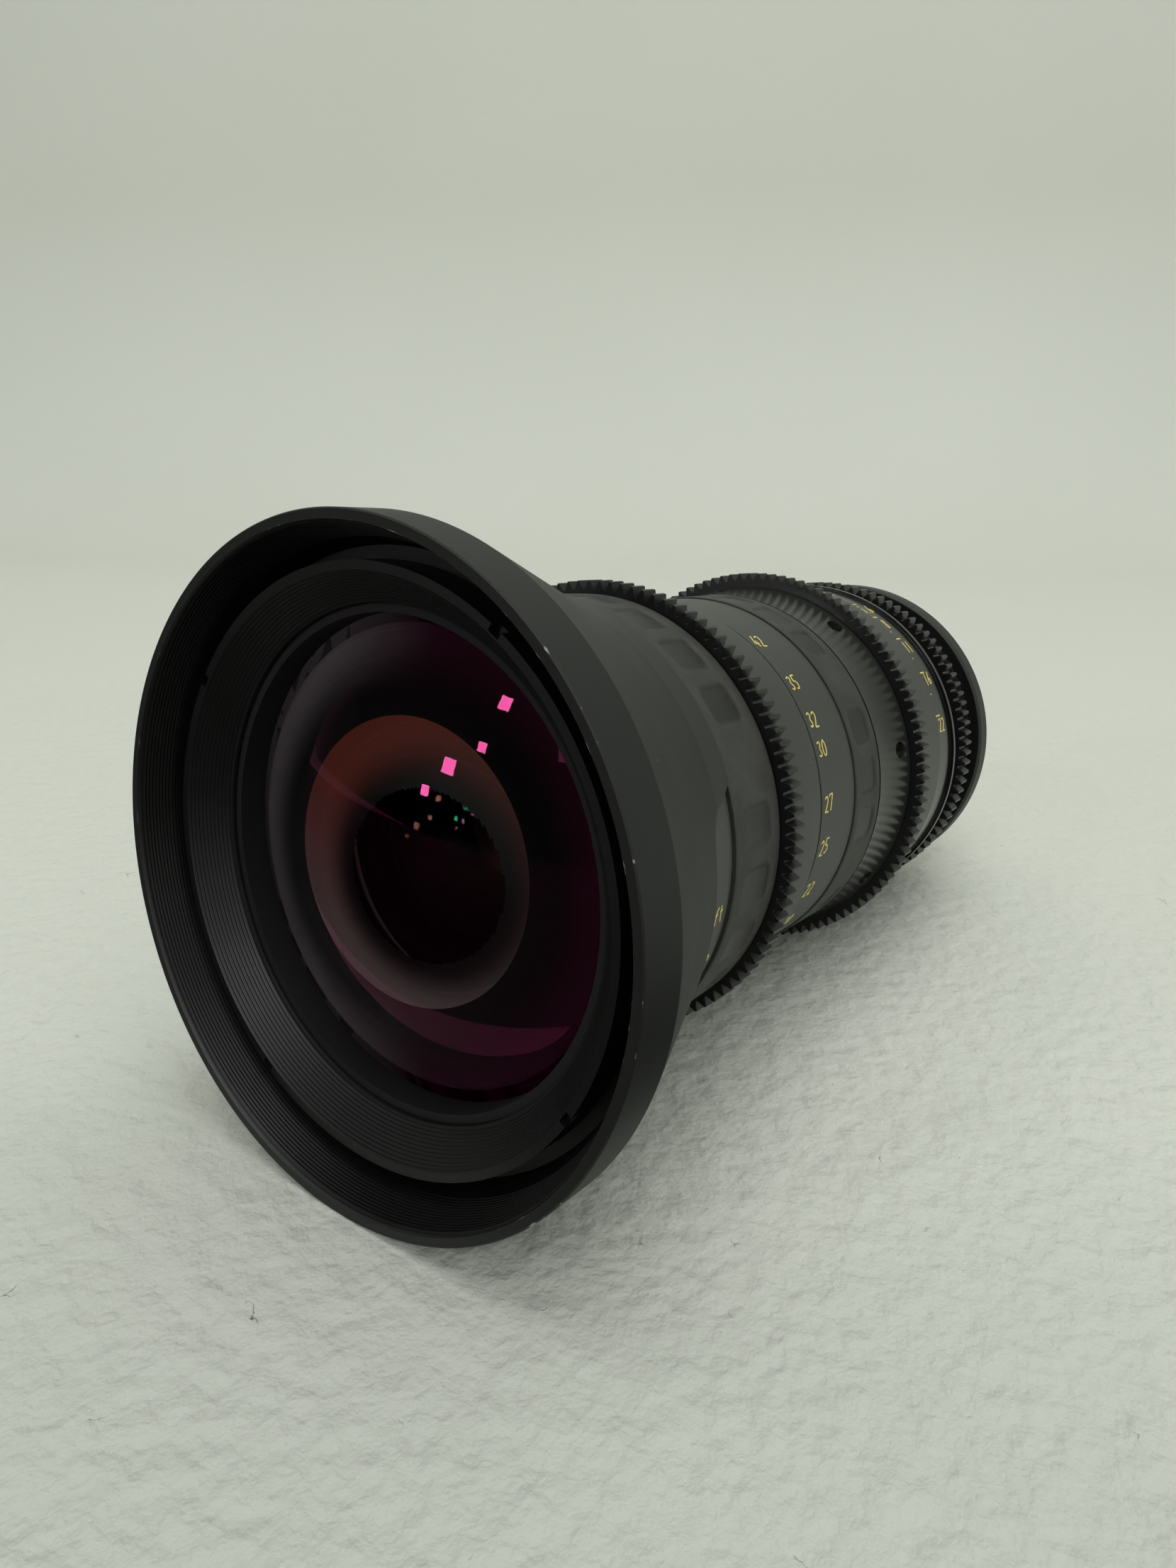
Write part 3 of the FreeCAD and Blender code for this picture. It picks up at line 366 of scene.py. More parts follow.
print("materials")
conePaint = anodised("satinBlackAnodisedAluminium", "#1C1E1B", "#161815", rough=0.58, dust=0.4,
                     wear=((57.0, 0.0, 0.42), (55.2, 0.0, 0.3)))
bellInside = anodised("flatBlackAnodisedAluminium", "#0A0A0A", "#060606", rough=0.4, metal=0.0)
ringGrey = anodised("charcoalAnodisedAluminium", "#40423E", "#363834", dust=0.35)
bandGrey = anodised("greyAnodisedAluminium", "#434541", "#3A3C38", rough=0.5, dust=0.3)
flareGrey = anodised("polishedCharcoalAnodisedAluminium", "#3C3E3A", "#343632", rough=0.2, dust=0.2, metal=0.6)
skirtGrey = anodised("darkCharcoalAnodisedAluminium", "#292B27", "#232521", rough=0.55, dust=0.3)
teethBlack = anodised("hardBlackAnodisedAluminium", "#1A1C1B", "#121312", rough=0.36, grain=0.25)
innerBlack = anodised("deepBlackAnodisedAluminium", "#0C0C0C", "#070707", rough=0.65, metal=0.0)
irisEnamel = anodised("glossBlackEnamelledAluminium", "#121210", "#0C0C0B", rough=0.2, metal=0.0)
screwSteel = anodised("blackOxideSteel", "#232423", "#161716", rough=0.35, metal=0.7)
bladeSteel = anodised("blackenedSpringSteel", "#1A1A1A", "#121212", rough=0.4, metal=0.5)
edgeBlacking = anodised("lensEdgeBlacking", "#080808", "#050505", rough=0.7, metal=0.0)
gripRubber = mouldedRubber("mouldedNitrileRubber")
mountSteel = machinedSteel("turnedStainlessSteel", "#A9A8A3", 0.3)
yellowFill = paintFill("yellowEnamelFill", "#E8D878", "#C9B450")
whiteFill = paintFill("whiteEnamelFill", "#D8D8D0", "#B5B5AC")
blackFill = paintFill("blackEnamelFill", "#0B0B0B", "#050505")
magentaFilm = coatedGlass("crownGlassMagentaFilm", "#F6F8F6", "#BD457F", "#6A5A66", 1.62)
amberFilm = coatedGlass("crownGlassAmberFilm", "#F6F8F6", "#A86A62", "#101A14", 1.62, shift=(0.02, 0.10))
greenFilm = coatedGlass("flintGlassGreenFilm", "#F0F4EE", "#3A9A76", "#2E3A36", 1.7, gain=0.7)
violetFilm = coatedGlass("flintGlassVioletFilm", "#F0F4EE", "#9A5A8C", "#4A3040", 1.7, gain=0.6)
deepFilm = coatedGlass("flintGlassDeepFilm", "#E2EEE4", "#1C5A40", "#26382E", 1.7, gain=0.6)
# painted reflections: the flanges of the front glass carry the colours that its film mirrors, and glow a little
frontFlangeReflection = paintedReflectionFlange("flangeWithPaintedMagentaReflection", ("#A2969E", "#4C1230"), 0, (-0.026, 0.004), 26.0, 39.0,
                           0.065)
innerCrescentReflection = paintedReflectionFlange("flangeWithPaintedAmberCrescent", ("#9A8486", "#94463A"), 2, (-0.02, 0.014), 14.0, 22.5,
                           0.06, aside=6.0)

print("front barrel")
bell = {
    "rimOutside": 57.0, "rimInside": 55.2, "rimLength": 8.7, "rimChamfer": 0.25, "lipChamfer": 0.1,
    "groove": (0.45, 0.5, 0.8), "grooveDepth": 0.25,  # stations where the groove starts, is deep and ends
    "ribStart": 1.0, "ribEnd": 7.6, "ribs": 12, "ribDepth": 0.28,
    "coneEnd": (44.6, 39.9), "bandEnd": (43.4, 47.1), "recess": (51.6, 12.0),
    "skirtWall": 0.9, "web": (24.0, 27.5), "webBore": 31.5, "cellBore": 47.02, "coneSoftEdge": 0.05,
}


def alongWall(station):
    # The inner wall of the bell narrows evenly from its lip to the floor of the recess.
    return bell["rimInside"] + (bell["recess"][0] - bell["rimInside"]) * station / bell["recess"][1]


rimOutside, rimLength, skirtWall = bell["rimOutside"], bell["rimLength"], bell["skirtWall"]
coneEnd, bandEnd, web, recess = bell["coneEnd"], bell["bandEnd"], bell["web"], bell["recess"]
grooveStart, grooveDeep, grooveEnd = bell["groove"]
rimProfile = [(rimOutside - bell["rimChamfer"], 0), (rimOutside, bell["rimChamfer"]),
              (rimOutside, rimLength), (alongWall(rimLength), rimLength)]
rimProfile += reversed(ribbed((alongWall(bell["ribStart"]), bell["ribStart"]),
                              (alongWall(bell["ribEnd"]), bell["ribEnd"]), bell["ribs"], bell["ribDepth"]))
rimProfile += [(alongWall(grooveEnd) + bell["grooveDepth"], grooveEnd),
               (alongWall(grooveDeep) + bell["grooveDepth"], grooveDeep),
               (alongWall(grooveStart), grooveStart), (bell["rimInside"] + bell["lipChamfer"], 0)]
rim = finishPiece(turnedRing(rimProfile, soften=0.0), "frontRim", "lens_barrel", conePaint,
                  ["front_rim"])
repaint(rim, bellInside, lambda radius, station: radius < bell["rimInside"] + bell["lipChamfer"] + 0.02)

fall = (rimOutside - coneEnd[0]) / (coneEnd[1] - rimLength)
skirtRoot = coneEnd[0] + (coneEnd[1] - web[1]) * fall - skirtWall
cone = turnedRing([
    (rimOutside, rimLength), coneEnd, bandEnd, (bandEnd[0] - skirtWall, bandEnd[1]),
    (coneEnd[0] - skirtWall, coneEnd[1]), (skirtRoot, web[1]), (bell["webBore"], web[1]), (bell["webBore"], web[0]),
    (bell["cellBore"], web[0]), (bell["cellBore"], recess[1]), recess, (alongWall(rimLength), rimLength),
], soften=bell["coneSoftEdge"])

window = {  # over the focus scale: a sector whose ends lean and whose front corners are round
    "from": 20.5, "sweep": 124.0, "steps": 100, "cutter": (40.0, 51.0),
    "lean": ((34.8, -9.5), (35.1, -8.0), (35.7, -6.6), (36.6, -5.6), (38.0, -4.2), (40.0, -1.8), (47.1, 1.6),
             (48.4, 2.2)),  # how far an end leans, in degrees, at a station
}
stations = [station for station, lean in window["lean"]]
outline = [(window["cutter"][0], station) for station in stations]
outline += [(window["cutter"][1], station) for station in reversed(stations)]
opening = turnAbout(startProfile(outline, soften=0.0), window["from"], window["sweep"], window["steps"])
leans = {round(station, 3): lean for station, lean in window["lean"]}
halfSweep = window["sweep"] / 2
for vert in opening.verts:  # the lean grows evenly from the middle of the sector to its ends
    share = (math.degrees(math.atan2(vert.co.z, vert.co.x)) - window["from"] + halfSweep) / halfSweep
    vert.co.rotate(rotation(-leans[round(vert.co.y, 3)] * share, "Y"))
bmesh.ops.recalc_face_normals(opening, faces=opening.faces)
barrel = finishPiece(cutAway(cone, opening), "frontCone", "lens_barrel", conePaint,
                     ["front_barrel"])
repaint(barrel, skirtGrey, lambda radius, station: station > coneEnd[1] and radius > bandEnd[0] - 0.3)
repaint(barrel, bellInside, lambda radius, station: station < recess[1] + 0.01
        and radius < alongWall(min(station, recess[1])) + 0.3)

print("notched ring")
lip = {"outside": 49.4, "flat": 1.5, "front": 5.5, "rear": 12.0, "small": (42.7, 11.5), "ribsEnd": (43.2, 11.05),
       "smallChamfer": (42.8, 11.15), "ribs": 11, "ribDepth": 0.22,
       "notchWidth": 2.2, "notchDepth": 1.6, "notchReach": 1.2, "notchTurn": 58.7, "notches": 4}
ridge = ribbed((lip["outside"] - lip["flat"], lip["front"]), lip["ribsEnd"], lip["ribs"], lip["ribDepth"])
notched = turnedRing([(lip["small"][0], lip["rear"]), (lip["outside"], lip["rear"]), (lip["outside"], lip["front"])]
                     + ridge + [lip["smallChamfer"], lip["small"]], soften=0.0)
notches = [placed(block((2 * lip["notchReach"], 2 * lip["notchDepth"], lip["notchWidth"])), lip["outside"],
                  lip["front"], lip["notchTurn"] + count * 360 / lip["notches"]) for count in range(lip["notches"])]
finishPiece(cutAway(notched, joined(notches)), "notchedRing", "lens_barrel", bellInside,
            ["baffle_ring"])

print("glass")
glasses = {  # a side is the radius of its curve, the radius to which it curves and whether it is hollow
    "front": {"radius": 41.2, "stations": (17.2, 21.0), "front": (80.0, 41.2, False), "rear": (38.0, 22.6, True),
              "shaded": (6.0, 13.5)},
    "second": {"radius": 26.0, "stations": (30.7, 34.1), "front": (60.0, 26.0, False), "rear": (40.0, 19.0, True)},
    "focus": {"radius": 24.0, "stations": (61.0, 65.0), "front": (62.0, 24.0, False), "rear": (62.0, 21.0, False)},
    "rear": {"radius": 19.0, "stations": (207.2, 210.2), "front": (60.0, 19.0, False), "rear": (60.0, 16.0, False)},
}
cells = {
    "front": {"outside": 47.0, "seat": 41.22, "throat": 38.0, "front": 12.0, "rear": 24.0, "glassRear": 21.0,
              "ribs": 3},
    "second": {"outside": 30.48, "seat": 26.02, "throat": 23.0, "front": 27.5, "rear": 36.1, "glassRear": 34.1,
               "ribs": 2},
    "rear": {"outside": 21.98, "seat": 19.02, "throat": 16.0, "front": 203.2, "rear": 212.2, "glassRear": 210.2},
}


def glassSide(side, station, front, points=60):
    # Points of a spherical side from its edge to the axis.
    curve, clear, hollow = side
    way = 1 if front != hollow else -1
    middle = station + way * math.sqrt(curve * curve - clear * clear)
    rows = []
    for step in range(points + 1):
        radius = clear * (1 - step / points)
        rows.append((radius, middle - way * math.sqrt(curve * curve - radius * radius)))
    return rows


def lensElement(name, node, body, films, paints, radius, stations, front, rear, shaded=None):
    # What lies outside the curves is painted, as opticians do; on the front glass that paint carries a
    # painted reflection. Shaded is the place and radius of a round outside which the rear curve is painted too, with a
    # painted crescent of reflection.
    outline = list(reversed(glassSide(front, stations[0], True))) + [(radius, stations[0])] * (front[1] < radius)
    outline += [(radius, stations[1])] * (rear[1] < radius) + glassSide(rear, stations[1], False)
    glass = turnAbout(startProfile(outline, soften=0.0, closed=False))
    piece = finishPiece(glass, name, body, films[0], [node], sharpAngle=20)
    for film in (*films[1:], *paints):
        piece.data.materials.append(film)
    for face in piece.data.polygons:
        across, upward = face.center.x / millimetre, face.center.z / millimetre
        clear = front[1] if face.normal.y < 0 else rear[1]
        edge = abs(face.normal.y) < 0.2 or math.hypot(across, upward) > clear
        face.material_index = 2 if edge else int(face.normal.y > 0)
        if shaded and face.material_index == 1 and math.hypot(across - shaded[0], upward) > shaded[1]:
            face.material_index = 3


def glassCell(name, node, outside, seat, throat, front, rear, glassRear, ribs=0):
    inner = ribbed((throat, rear), (throat, glassRear + 0.4), ribs, 0.3) if ribs else [(throat, rear)]
    corners = [(seat, front), (outside, front), (outside, rear)] + inner + [(throat, glassRear), (seat, glassRear)]
    finishPiece(turnedRing(corners, soften=0.0), name, "lens_barrel", innerBlack, [node])


lensElement("frontGlass", "front_element", "lens_barrel", (magentaFilm, amberFilm), (frontFlangeReflection, innerCrescentReflection),
            **glasses["front"])
lensElement("secondGlass", "second_element", "lens_barrel", (greenFilm, violetFilm), (edgeBlacking,),
            **glasses["second"])
lensElement("focusGlass", "focus_element", "focus_group", (deepFilm, violetFilm), (edgeBlacking,),
            **glasses["focus"])
lensElement("rearGlass", "rear_element", "lens_barrel", (deepFilm, violetFilm), (edgeBlacking,), **glasses["rear"])
glassCell("frontGlassCell", "front_cell", **cells["front"])
glassCell("secondGlassCell", "second_cell", **cells["second"])

print("focus ring")
tooth = {"module": 0.8, "slant": 20, "tipDrop": 0.12, "tipSpread": 0.06, "tipFlat": 0.1, "endChamfer": 0.14}


def gearRing(name, node, body, front, rear, seat, teeth):
    # One tooth is drawn over one pitch, given its depth and chamfers, and repeated round the ring.
    pitch = 360.0 / teeth
    module, slope = tooth["module"], math.tan(math.radians(tooth["slant"]))
    root, tip = module * (teeth / 2 - 1.25), module * (teeth / 2 + 1)
    halfRoot = math.degrees(module * (math.pi / 4 + 1.25 * slope) / root)
    halfTip = math.degrees(module * (math.pi / 4 - 1.0 * slope) / tip)
    half = [(seat, -pitch / 2), (root, -pitch / 2), (root, -halfRoot),
            (tip - tooth["tipDrop"], -halfTip - tooth["tipSpread"]), (tip, -halfTip + tooth["tipFlat"])]
    outline = half + [(radius, -turn) for radius, turn in reversed(half)]
    shape = bmesh.new()
    face = shape.faces.new([shape.verts.new((radius * math.cos(math.radians(turn)), front,
                                             radius * math.sin(math.radians(turn)))) for radius, turn in outline])
    swept = bmesh.ops.extrude_face_region(shape, geom=[face], use_keep_orig=True)
    move(shape, (0, rear - front, 0), newVerts(swept))
    sides = [side for side in shape.faces if len(side.verts) == 4 and all(
        abs(abs(math.degrees(math.atan2(vert.co.z, vert.co.x))) - pitch / 2) < 0.001 for vert in side.verts)]
    ends = [side for side in sides if len({round(vert.co.z, 4) for vert in side.verts}) <= 2
            and all(vert.co.z * side.verts[0].co.z > 0 for vert in side.verts)]
    bmesh.ops.delete(shape, geom=ends, context="FACES_ONLY")
    crisp = [edge for edge in shape.edges
             if len(edge.link_faces) == 2 and abs(edge.verts[0].co.y - edge.verts[1].co.y) < 0.001
             and min(vert.co.xz.length for vert in edge.verts) > root - 0.01
             and max(vert.co.xz.length for vert in edge.verts) > root + 0.1]
    bmesh.ops.bevel(shape, geom=crisp, offset=tooth["endChamfer"], segments=1, profile=0.5,
                    affect="EDGES", clamp_overlap=True, material=-1)
    bmesh.ops.spin(shape, geom=shape.verts[:] + shape.edges[:] + shape.faces[:], cent=(0, 0, 0), axis=(0, 1, 0),
                   angle=math.radians(360), steps=teeth, use_duplicate=True)
    bmesh.ops.remove_doubles(shape, verts=shape.verts, dist=0.002)
    bmesh.ops.recalc_face_normals(shape, faces=shape.faces)
    finishPiece(shape, name, body, teethBlack, [node], sharpAngle=25)


pad = {"width": 7.4, "corner": 1.9, "count": 24, "first": 84.5, "depth": 0.4, "soft": 0.6, "rows": 40,
       "stepsPerPad": 20, "edgeDrop": 0.15}


def gripRing(name, node, body, bore, stations, radii, padLength, bare):
    # A dense ring whose outside is pressed in where the pads are, with soft edges and round
    # corners. The bare places, counted round from the first pad, have none.
    (front, rear), (frontRadius, rearRadius) = stations, radii
    outside = []
    for row in range(pad["rows"] + 1):
        drop = pad["edgeDrop"] if row in (0, pad["rows"]) else 0.0
        outside.append((frontRadius + (rearRadius - frontRadius) * row / pad["rows"] - drop,
                        front + (rear - front) * row / pad["rows"]))
    grip = turnAbout(startProfile([(bore, front)] + outside + [(bore, rear)], soften=0.0),
                     steps=pad["count"] * pad["stepsPerPad"])
    layer = grip.verts.layers.float.new("pad")
    pitch, corner = 360 / pad["count"], pad["corner"]
    for vert in grip.verts:
        radius = math.hypot(vert.co.x, vert.co.z)
        turn = math.degrees(math.atan2(vert.co.z, vert.co.x)) - pad["first"]
        if radius < bore + 0.5 or round(turn / pitch) % pad["count"] in bare:
            continue
        turn = (turn + pitch / 2) % pitch - pitch / 2
        outX = abs(math.radians(turn) * radius) - pad["width"] / 2 + corner
        outY = abs(vert.co.y - (front + rear) / 2) - padLength / 2 + corner
        away = math.hypot(max(outX, 0), max(outY, 0)) + min(max(outX, outY), 0) - corner
        share = min(max(0.5 - away / pad["soft"], 0), 1)
        share = share * share * (3 - 2 * share)
        vert[layer] = share
        vert.co.x *= 1 - pad["depth"] * share / radius
        vert.co.z *= 1 - pad["depth"] * share / radius
    finishPiece(grip, name, body, gripRubber, [node], sharpAngle=40)


focus = {"scaleFront": 34.5, "skirtGap": 0.3, "seat": 40.6, "bore": 33.05, "rear": 68.5,
         "gripStations": (47.6, 64.0), "gripRadii": (42.8, 42.2), "padLength": 9.6, "bare": (4, 12, 20),
         "gearFront": 64.5, "teeth": 110}
scaleDrop = skirtWall + focus["skirtGap"]
scaleFrontRadius = coneEnd[0] + (coneEnd[1] - focus["scaleFront"]) * fall - scaleDrop
focusDrum = turnedRing([
    (focus["bore"], focus["scaleFront"]), (scaleFrontRadius, focus["scaleFront"]),
    (coneEnd[0] - scaleDrop, coneEnd[1]), (bandEnd[0] - scaleDrop, bandEnd[1]),
    (focus["seat"], bandEnd[1]), (focus["seat"], focus["rear"]), (focus["bore"], focus["rear"]),
])
finishPiece(focusDrum, "focusScaleDrum", "focus_ring", ringGrey, ["focus_hub"])
gripRing("focusGrip", "focus_grip", "focus_ring", focus["seat"] + 0.02, focus["gripStations"], focus["gripRadii"],
         focus["padLength"], focus["bare"])
gearRing("focusTeeth", "focus_gear", "focus_ring", focus["gearFront"], focus["rear"], focus["seat"] + 0.02,
         focus["teeth"])

print("zoom ring")
zoom = {"centreRing": [(33.02, 69.0), (41.0, 69.0), (41.0, 82.2), (39.8, 85.4), (33.02, 85.4)],  # radius, station
        "scaleDrum": [(33.05, 85.9), (39.8, 85.9), (39.8, 101.0), (38.4, 101.0), (38.4, 131.4), (33.05, 131.4)],
        "seat": 38.42, "gripStations": (101.3, 113.5), "gripRadii": (40.2, 40.2), "padLength": 7.8,
        "bare": (3, 7, 11, 15, 17, 21), "gear": (127.4, 131.4), "teeth": 110}
finishPiece(turnedRing(zoom["centreRing"]), "centreRing", "lens_barrel", ringGrey, ["centre_ring"])
finishPiece(turnedRing(zoom["scaleDrum"]), "zoomScaleDrum", "zoom_ring", bandGrey, ["zoom_hub"])
gripRing("zoomGrip", "zoom_grip", "zoom_ring", zoom["seat"], zoom["gripStations"], zoom["gripRadii"],
         zoom["padLength"], zoom["bare"])
gearRing("zoomTeeth", "zoom_gear", "zoom_ring", *zoom["gear"], zoom["seat"], zoom["teeth"])

flare = {"front": (40.2, 113.8), "rear": (41.6, 126.9), "seat": 38.42, "rows": 10, "swell": 2.2,
         "holeStation": 123.7, "firstHole": 58.6, "holes": 8, "holeRadius": 1.85, "holeDepth": 1.9,
         "screwRadius": 1.45, "screwSunk": 1.8, "socketRadius": 0.55, "socketTurn": 23}
flareOutside = []
for row in range(flare["rows"] + 1):
    share = row / flare["rows"]
    flareOutside.append((flare["front"][0] + (flare["rear"][0] - flare["front"][0]) * share ** flare["swell"],
                         flare["front"][1] + (flare["rear"][1] - flare["front"][1]) * share))
band = turnAbout(startProfile([(flare["seat"], flare["front"][1])] + flareOutside
                              + [(flare["seat"], flare["rear"][1])], soften=0.0))
holes, screws = [], []
for count in range(flare["holes"]):
    turn = flare["firstHole"] - count * 360 / flare["holes"]
    holes.append(placed(rod(flare["holeRadius"], 2 * flare["holeDepth"], 32), flare["rear"][0] - 0.3,
                        flare["holeStation"], turn))
    socket = rod(flare["socketRadius"], 1.0, 6)
    rotate(socket, count * flare["socketTurn"], "X")
    move(socket, (flare["holeDepth"] / 6, 0, 0))
    screws.append(placed(cutAway(rod(flare["screwRadius"], 1.0, 32), socket), flare["rear"][0] - flare["screwSunk"],
                         flare["holeStation"], turn))
finishPiece(cutAway(band, joined(holes)), "flaredBand", "zoom_ring", flareGrey, ["flared_band"])
finishPiece(joined(screws), "bandScrews", "zoom_ring", screwSteel, sharpAngle=30)

print("iris ring and rear")
iris = {"midRing": [(33.02, 131.9), (41.4, 131.9), (40.6, 148.8), (33.02, 148.8)],
        "scaleDrum": [(33.05, 149.3), (40.2, 149.3), (40.2, 157.3), (41.0, 157.3), (41.0, 158.5), (37.6, 158.5),
                      (37.6, 168.7), (33.05, 168.7)],
        "gear": (164.7, 168.7), "seat": 37.62, "teeth": 102,
        "rearBarrel": [(24.0, 161.6), (30.48, 161.6), (30.48, 169.2), (37.0, 169.2), (37.0, 179.8), (39.8, 179.8),
                       (40.4, 180.4), (40.4, 184.6), (39.8, 185.2), (24.0, 185.2)], "flangeFront": 179.9}
finishPiece(turnedRing(iris["midRing"]), "midRing", "lens_barrel", ringGrey, ["mid_ring"])
finishPiece(turnedRing(iris["scaleDrum"]), "irisScaleDrum", "iris_ring", irisEnamel, ["iris_hub"])
gearRing("irisTeeth", "iris_gear", "iris_ring", *iris["gear"], iris["seat"], iris["teeth"])
rearBarrel = finishPiece(turnedRing(iris["rearBarrel"]), "rearBarrel", "lens_barrel", skirtGrey,
                         ["rear_barrel"])
# painted light and shade: the neck and the flange's front face, which face away from the light, take the near-black
# finish, and only the lit side of the flange keeps the grey
repaint(rearBarrel, bellInside, lambda radius, station: station < iris["flangeFront"])  # only the flange is grey

print("marks")
strokes = {
    "0": [((0.5, 1), (0, 0.8), (0, 0.2), (0.5, 0), (1, 0.2), (1, 0.8), (0.5, 1))],
    "1": [((0.5, 1), (0.5, 0))],
    "2": [((0, 0.8), (0.5, 1), (1, 0.78), (0.7, 0.4), (0, 0)), ((0, 0), (1, 0))],
    "3": [((0, 0.85), (0.5, 1), (1, 0.78), (0.45, 0.53)), ((0.45, 0.53), (1, 0.28), (0.5, 0), (0, 0.15))],
    "4": [((0.75, 1), (0, 0.3)), ((0, 0.3), (1, 0.3)), ((0.7, 0.55), (0.7, 0))],
    "5": [((1, 1), (0.15, 1)), ((0.15, 1), (0.1, 0.58)), ((0.1, 0.58), (0.6, 0.64), (1, 0.32), (0.5, 0), (0, 0.12))],
    "6": [((0.85, 1), (0.1, 0.5), (0, 0.25), (0.5, 0), (1, 0.28), (0.55, 0.55), (0.05, 0.35))],
    "7": [((0, 0.85), (0.05, 1)), ((0.05, 1), (1, 1)), ((1, 1), (0.35, 0))],
    "8": [((0.5, 0.54), (0.08, 0.77), (0.5, 1), (0.92, 0.77), (0.5, 0.54)),
          ((0.5, 0.54), (0, 0.27), (0.5, 0), (1, 0.27), (0.5, 0.54))],
    ".": [((0.45, 0.0), (0.55, 0.06))],
    "f": [((1, 1), (0.55, 0.95), (0.4, 0.7), (0.4, 0)), ((0.05, 0.62), (0.85, 0.62))],
    "t": [((0.45, 1), (0.45, 0.12), (0.8, 0.0)), ((0.1, 0.68), (0.9, 0.68))],
    "~": [((1.0, 0.5), (0.55, 0.78), (0, 0.5), (0.55, 0.22), (1.0, 0.5), (1.45, 0.78), (2, 0.5), (1.45, 0.22),
           (1.0, 0.5))],  # the sign for infinity
}
lettering = {"height": 3.3, "width": 1.35, "gap": 0.6, "stroke": 0.18, "raised": 0.35}
marks = {  # words, angle and station
    "focus": [("ft", -7.3, 43.2), ("~", -19.0, 42.9), ("30", -36, 43.2), ("15", -52, 43.2), ("10", -66, 43.2),
              ("7", -80, 43.2), ("5", -94, 43.2)], "focusHeight": 3.0,
    "zoom": [("42", 58.6, 89.0), ("35", 42.2, 89.0), ("32", 30.4, 89.0), ("30", 21.7, 89.0), ("27", 6.0, 89.0),
             ("25", -7.1, 89.0), ("22", -21.1, 89.0), ("20", -34.0, 89.0), ("18", -48.0, 89.0), ("16", -63.0, 89.0)],
    "iris": [("5.6", 66.3, 152.4), ("8", 57.3, 152.4), ("11", 46.0, 152.4), ("16", 33.0, 152.4), ("22", 16.5, 152.4),
             ("4", 82.0, 152.4), ("2.8", 98.0, 152.4)],
    "irisTicks": (101.5, 85.5, 70.3, 61.3, 49.9, 35.5, 19.7), "irisDots": (93.5, 78.0, 65.1, 53.3, 41.2, 27.4),
}


def writeMarks(name, body, entries, surface, height=lettering["height"]):
    # Strokes are drawn flat, made a mesh and laid round the lens. An entry is the words, the
    # angle and the station of their middle, and surface gives the radius at a station.
    shapes = []
    for words, turn, middle in entries:
        curve = bpy.data.curves.new("stroke", "CURVE")
        curve.dimensions = "3D"
        curve.bevel_depth, curve.bevel_resolution, curve.resolution_u = lettering["stroke"], 1, 5
        curve.use_fill_caps = True
        step = lettering["width"] + lettering["gap"]
        along = -(step * len(words) - lettering["gap"]) / 2
        for letter in words:
            for points in strokes[letter]:
                spline = curve.splines.new("NURBS")
                spline.points.add(len(points) - 1)
                for point, (across, upward) in zip(spline.points, points):
                    point.co = (along + across * lettering["width"], (upward - 0.5) * height, 0, 1)
                spline.order_u = 3
                spline.use_endpoint_u = True
            along += step
        holder = bpy.data.objects.new("stroke", curve)
        bpy.context.scene.collection.objects.link(holder)
        mesh = evaluatedMesh(holder)
        bpy.data.objects.remove(holder)
        shape = bmesh.new()
        shape.from_mesh(mesh)
        bmesh.ops.remove_doubles(shape, verts=shape.verts, dist=0.001)  # joins the caps to their strokes
        bmesh.ops.recalc_face_normals(shape, faces=shape.faces)
        for vert in shape.verts:
            along, upward, out = vert.co
            radius = surface(middle + along)
            angle = math.radians(turn) + upward / radius
            radius += out * lettering["raised"]
            vert.co = (radius * math.cos(angle), middle + along, radius * math.sin(angle))
        shapes.append(shape)
    finishPiece(joined(shapes), name, body, yellowFill, sharpAngle=50)


def bars(name, body, material, entries, surface):
    # Short raised bars. An entry is the angle, the station, the length along the axis and the width round it.
    shapes = [placed(block((0.1, length, width)), surface(station), station, turn)
              for turn, station, length, width in entries]
    finishPiece(joined(shapes), name, body, material, sharpAngle=30)


def drumRadius(station):
    # The focus drum follows the inside of the skirt and its band.
    if station > coneEnd[1]:
        share = (station - coneEnd[1]) / (bandEnd[1] - coneEnd[1])
        return coneEnd[0] - scaleDrop + (bandEnd[0] - coneEnd[0]) * share
    return coneEnd[0] + (coneEnd[1] - station) * fall - scaleDrop


def irisRadius(station):
    return iris["scaleDrum"][1][0]


writeMarks("focusNumbers", "focus_ring", marks["focus"], drumRadius, marks["focusHeight"])
bars("focusTick", "focus_ring", yellowFill, [(-22.4, 42.0, 1.4, 0.3)], drumRadius)
bars("focusDot", "focus_ring", yellowFill, [(-28.0, 43.0, 0.5, 0.5)], drumRadius)
writeMarks("zoomNumbers", "zoom_ring", marks["zoom"], lambda station: zoom["scaleDrum"][1][0])
writeMarks("irisNumbers", "iris_ring", marks["iris"], irisRadius)
for name, fill, turns, shape in (("irisTicks", yellowFill, marks["irisTicks"], (151.0, 2.4, 0.36)),
                                 ("irisDots", whiteFill, marks["irisDots"], (150.6, 0.4, 0.4))):
    bars(name, "iris_ring", fill, [(turn, *shape) for turn in turns], irisRadius)
index = {"turn": 8.0, "radius": 41.0, "bar": (75.3, 0.4, 1.5), "arrow": 74.2, "arrowSize": 0.85}
bars("indexBar", "lens_barrel", blackFill, [(index["turn"], *index["bar"])],
     lambda station: index["radius"])
arrow = rod(index["arrowSize"], 0.1, 3)  # a triangle that points to the front, just ahead of the bar
rotate(arrow, 180, "X")
finishPiece(placed(arrow, index["radius"], index["arrow"], index["turn"]), "indexArrow", "lens_barrel", blackFill,
            sharpAngle=30)

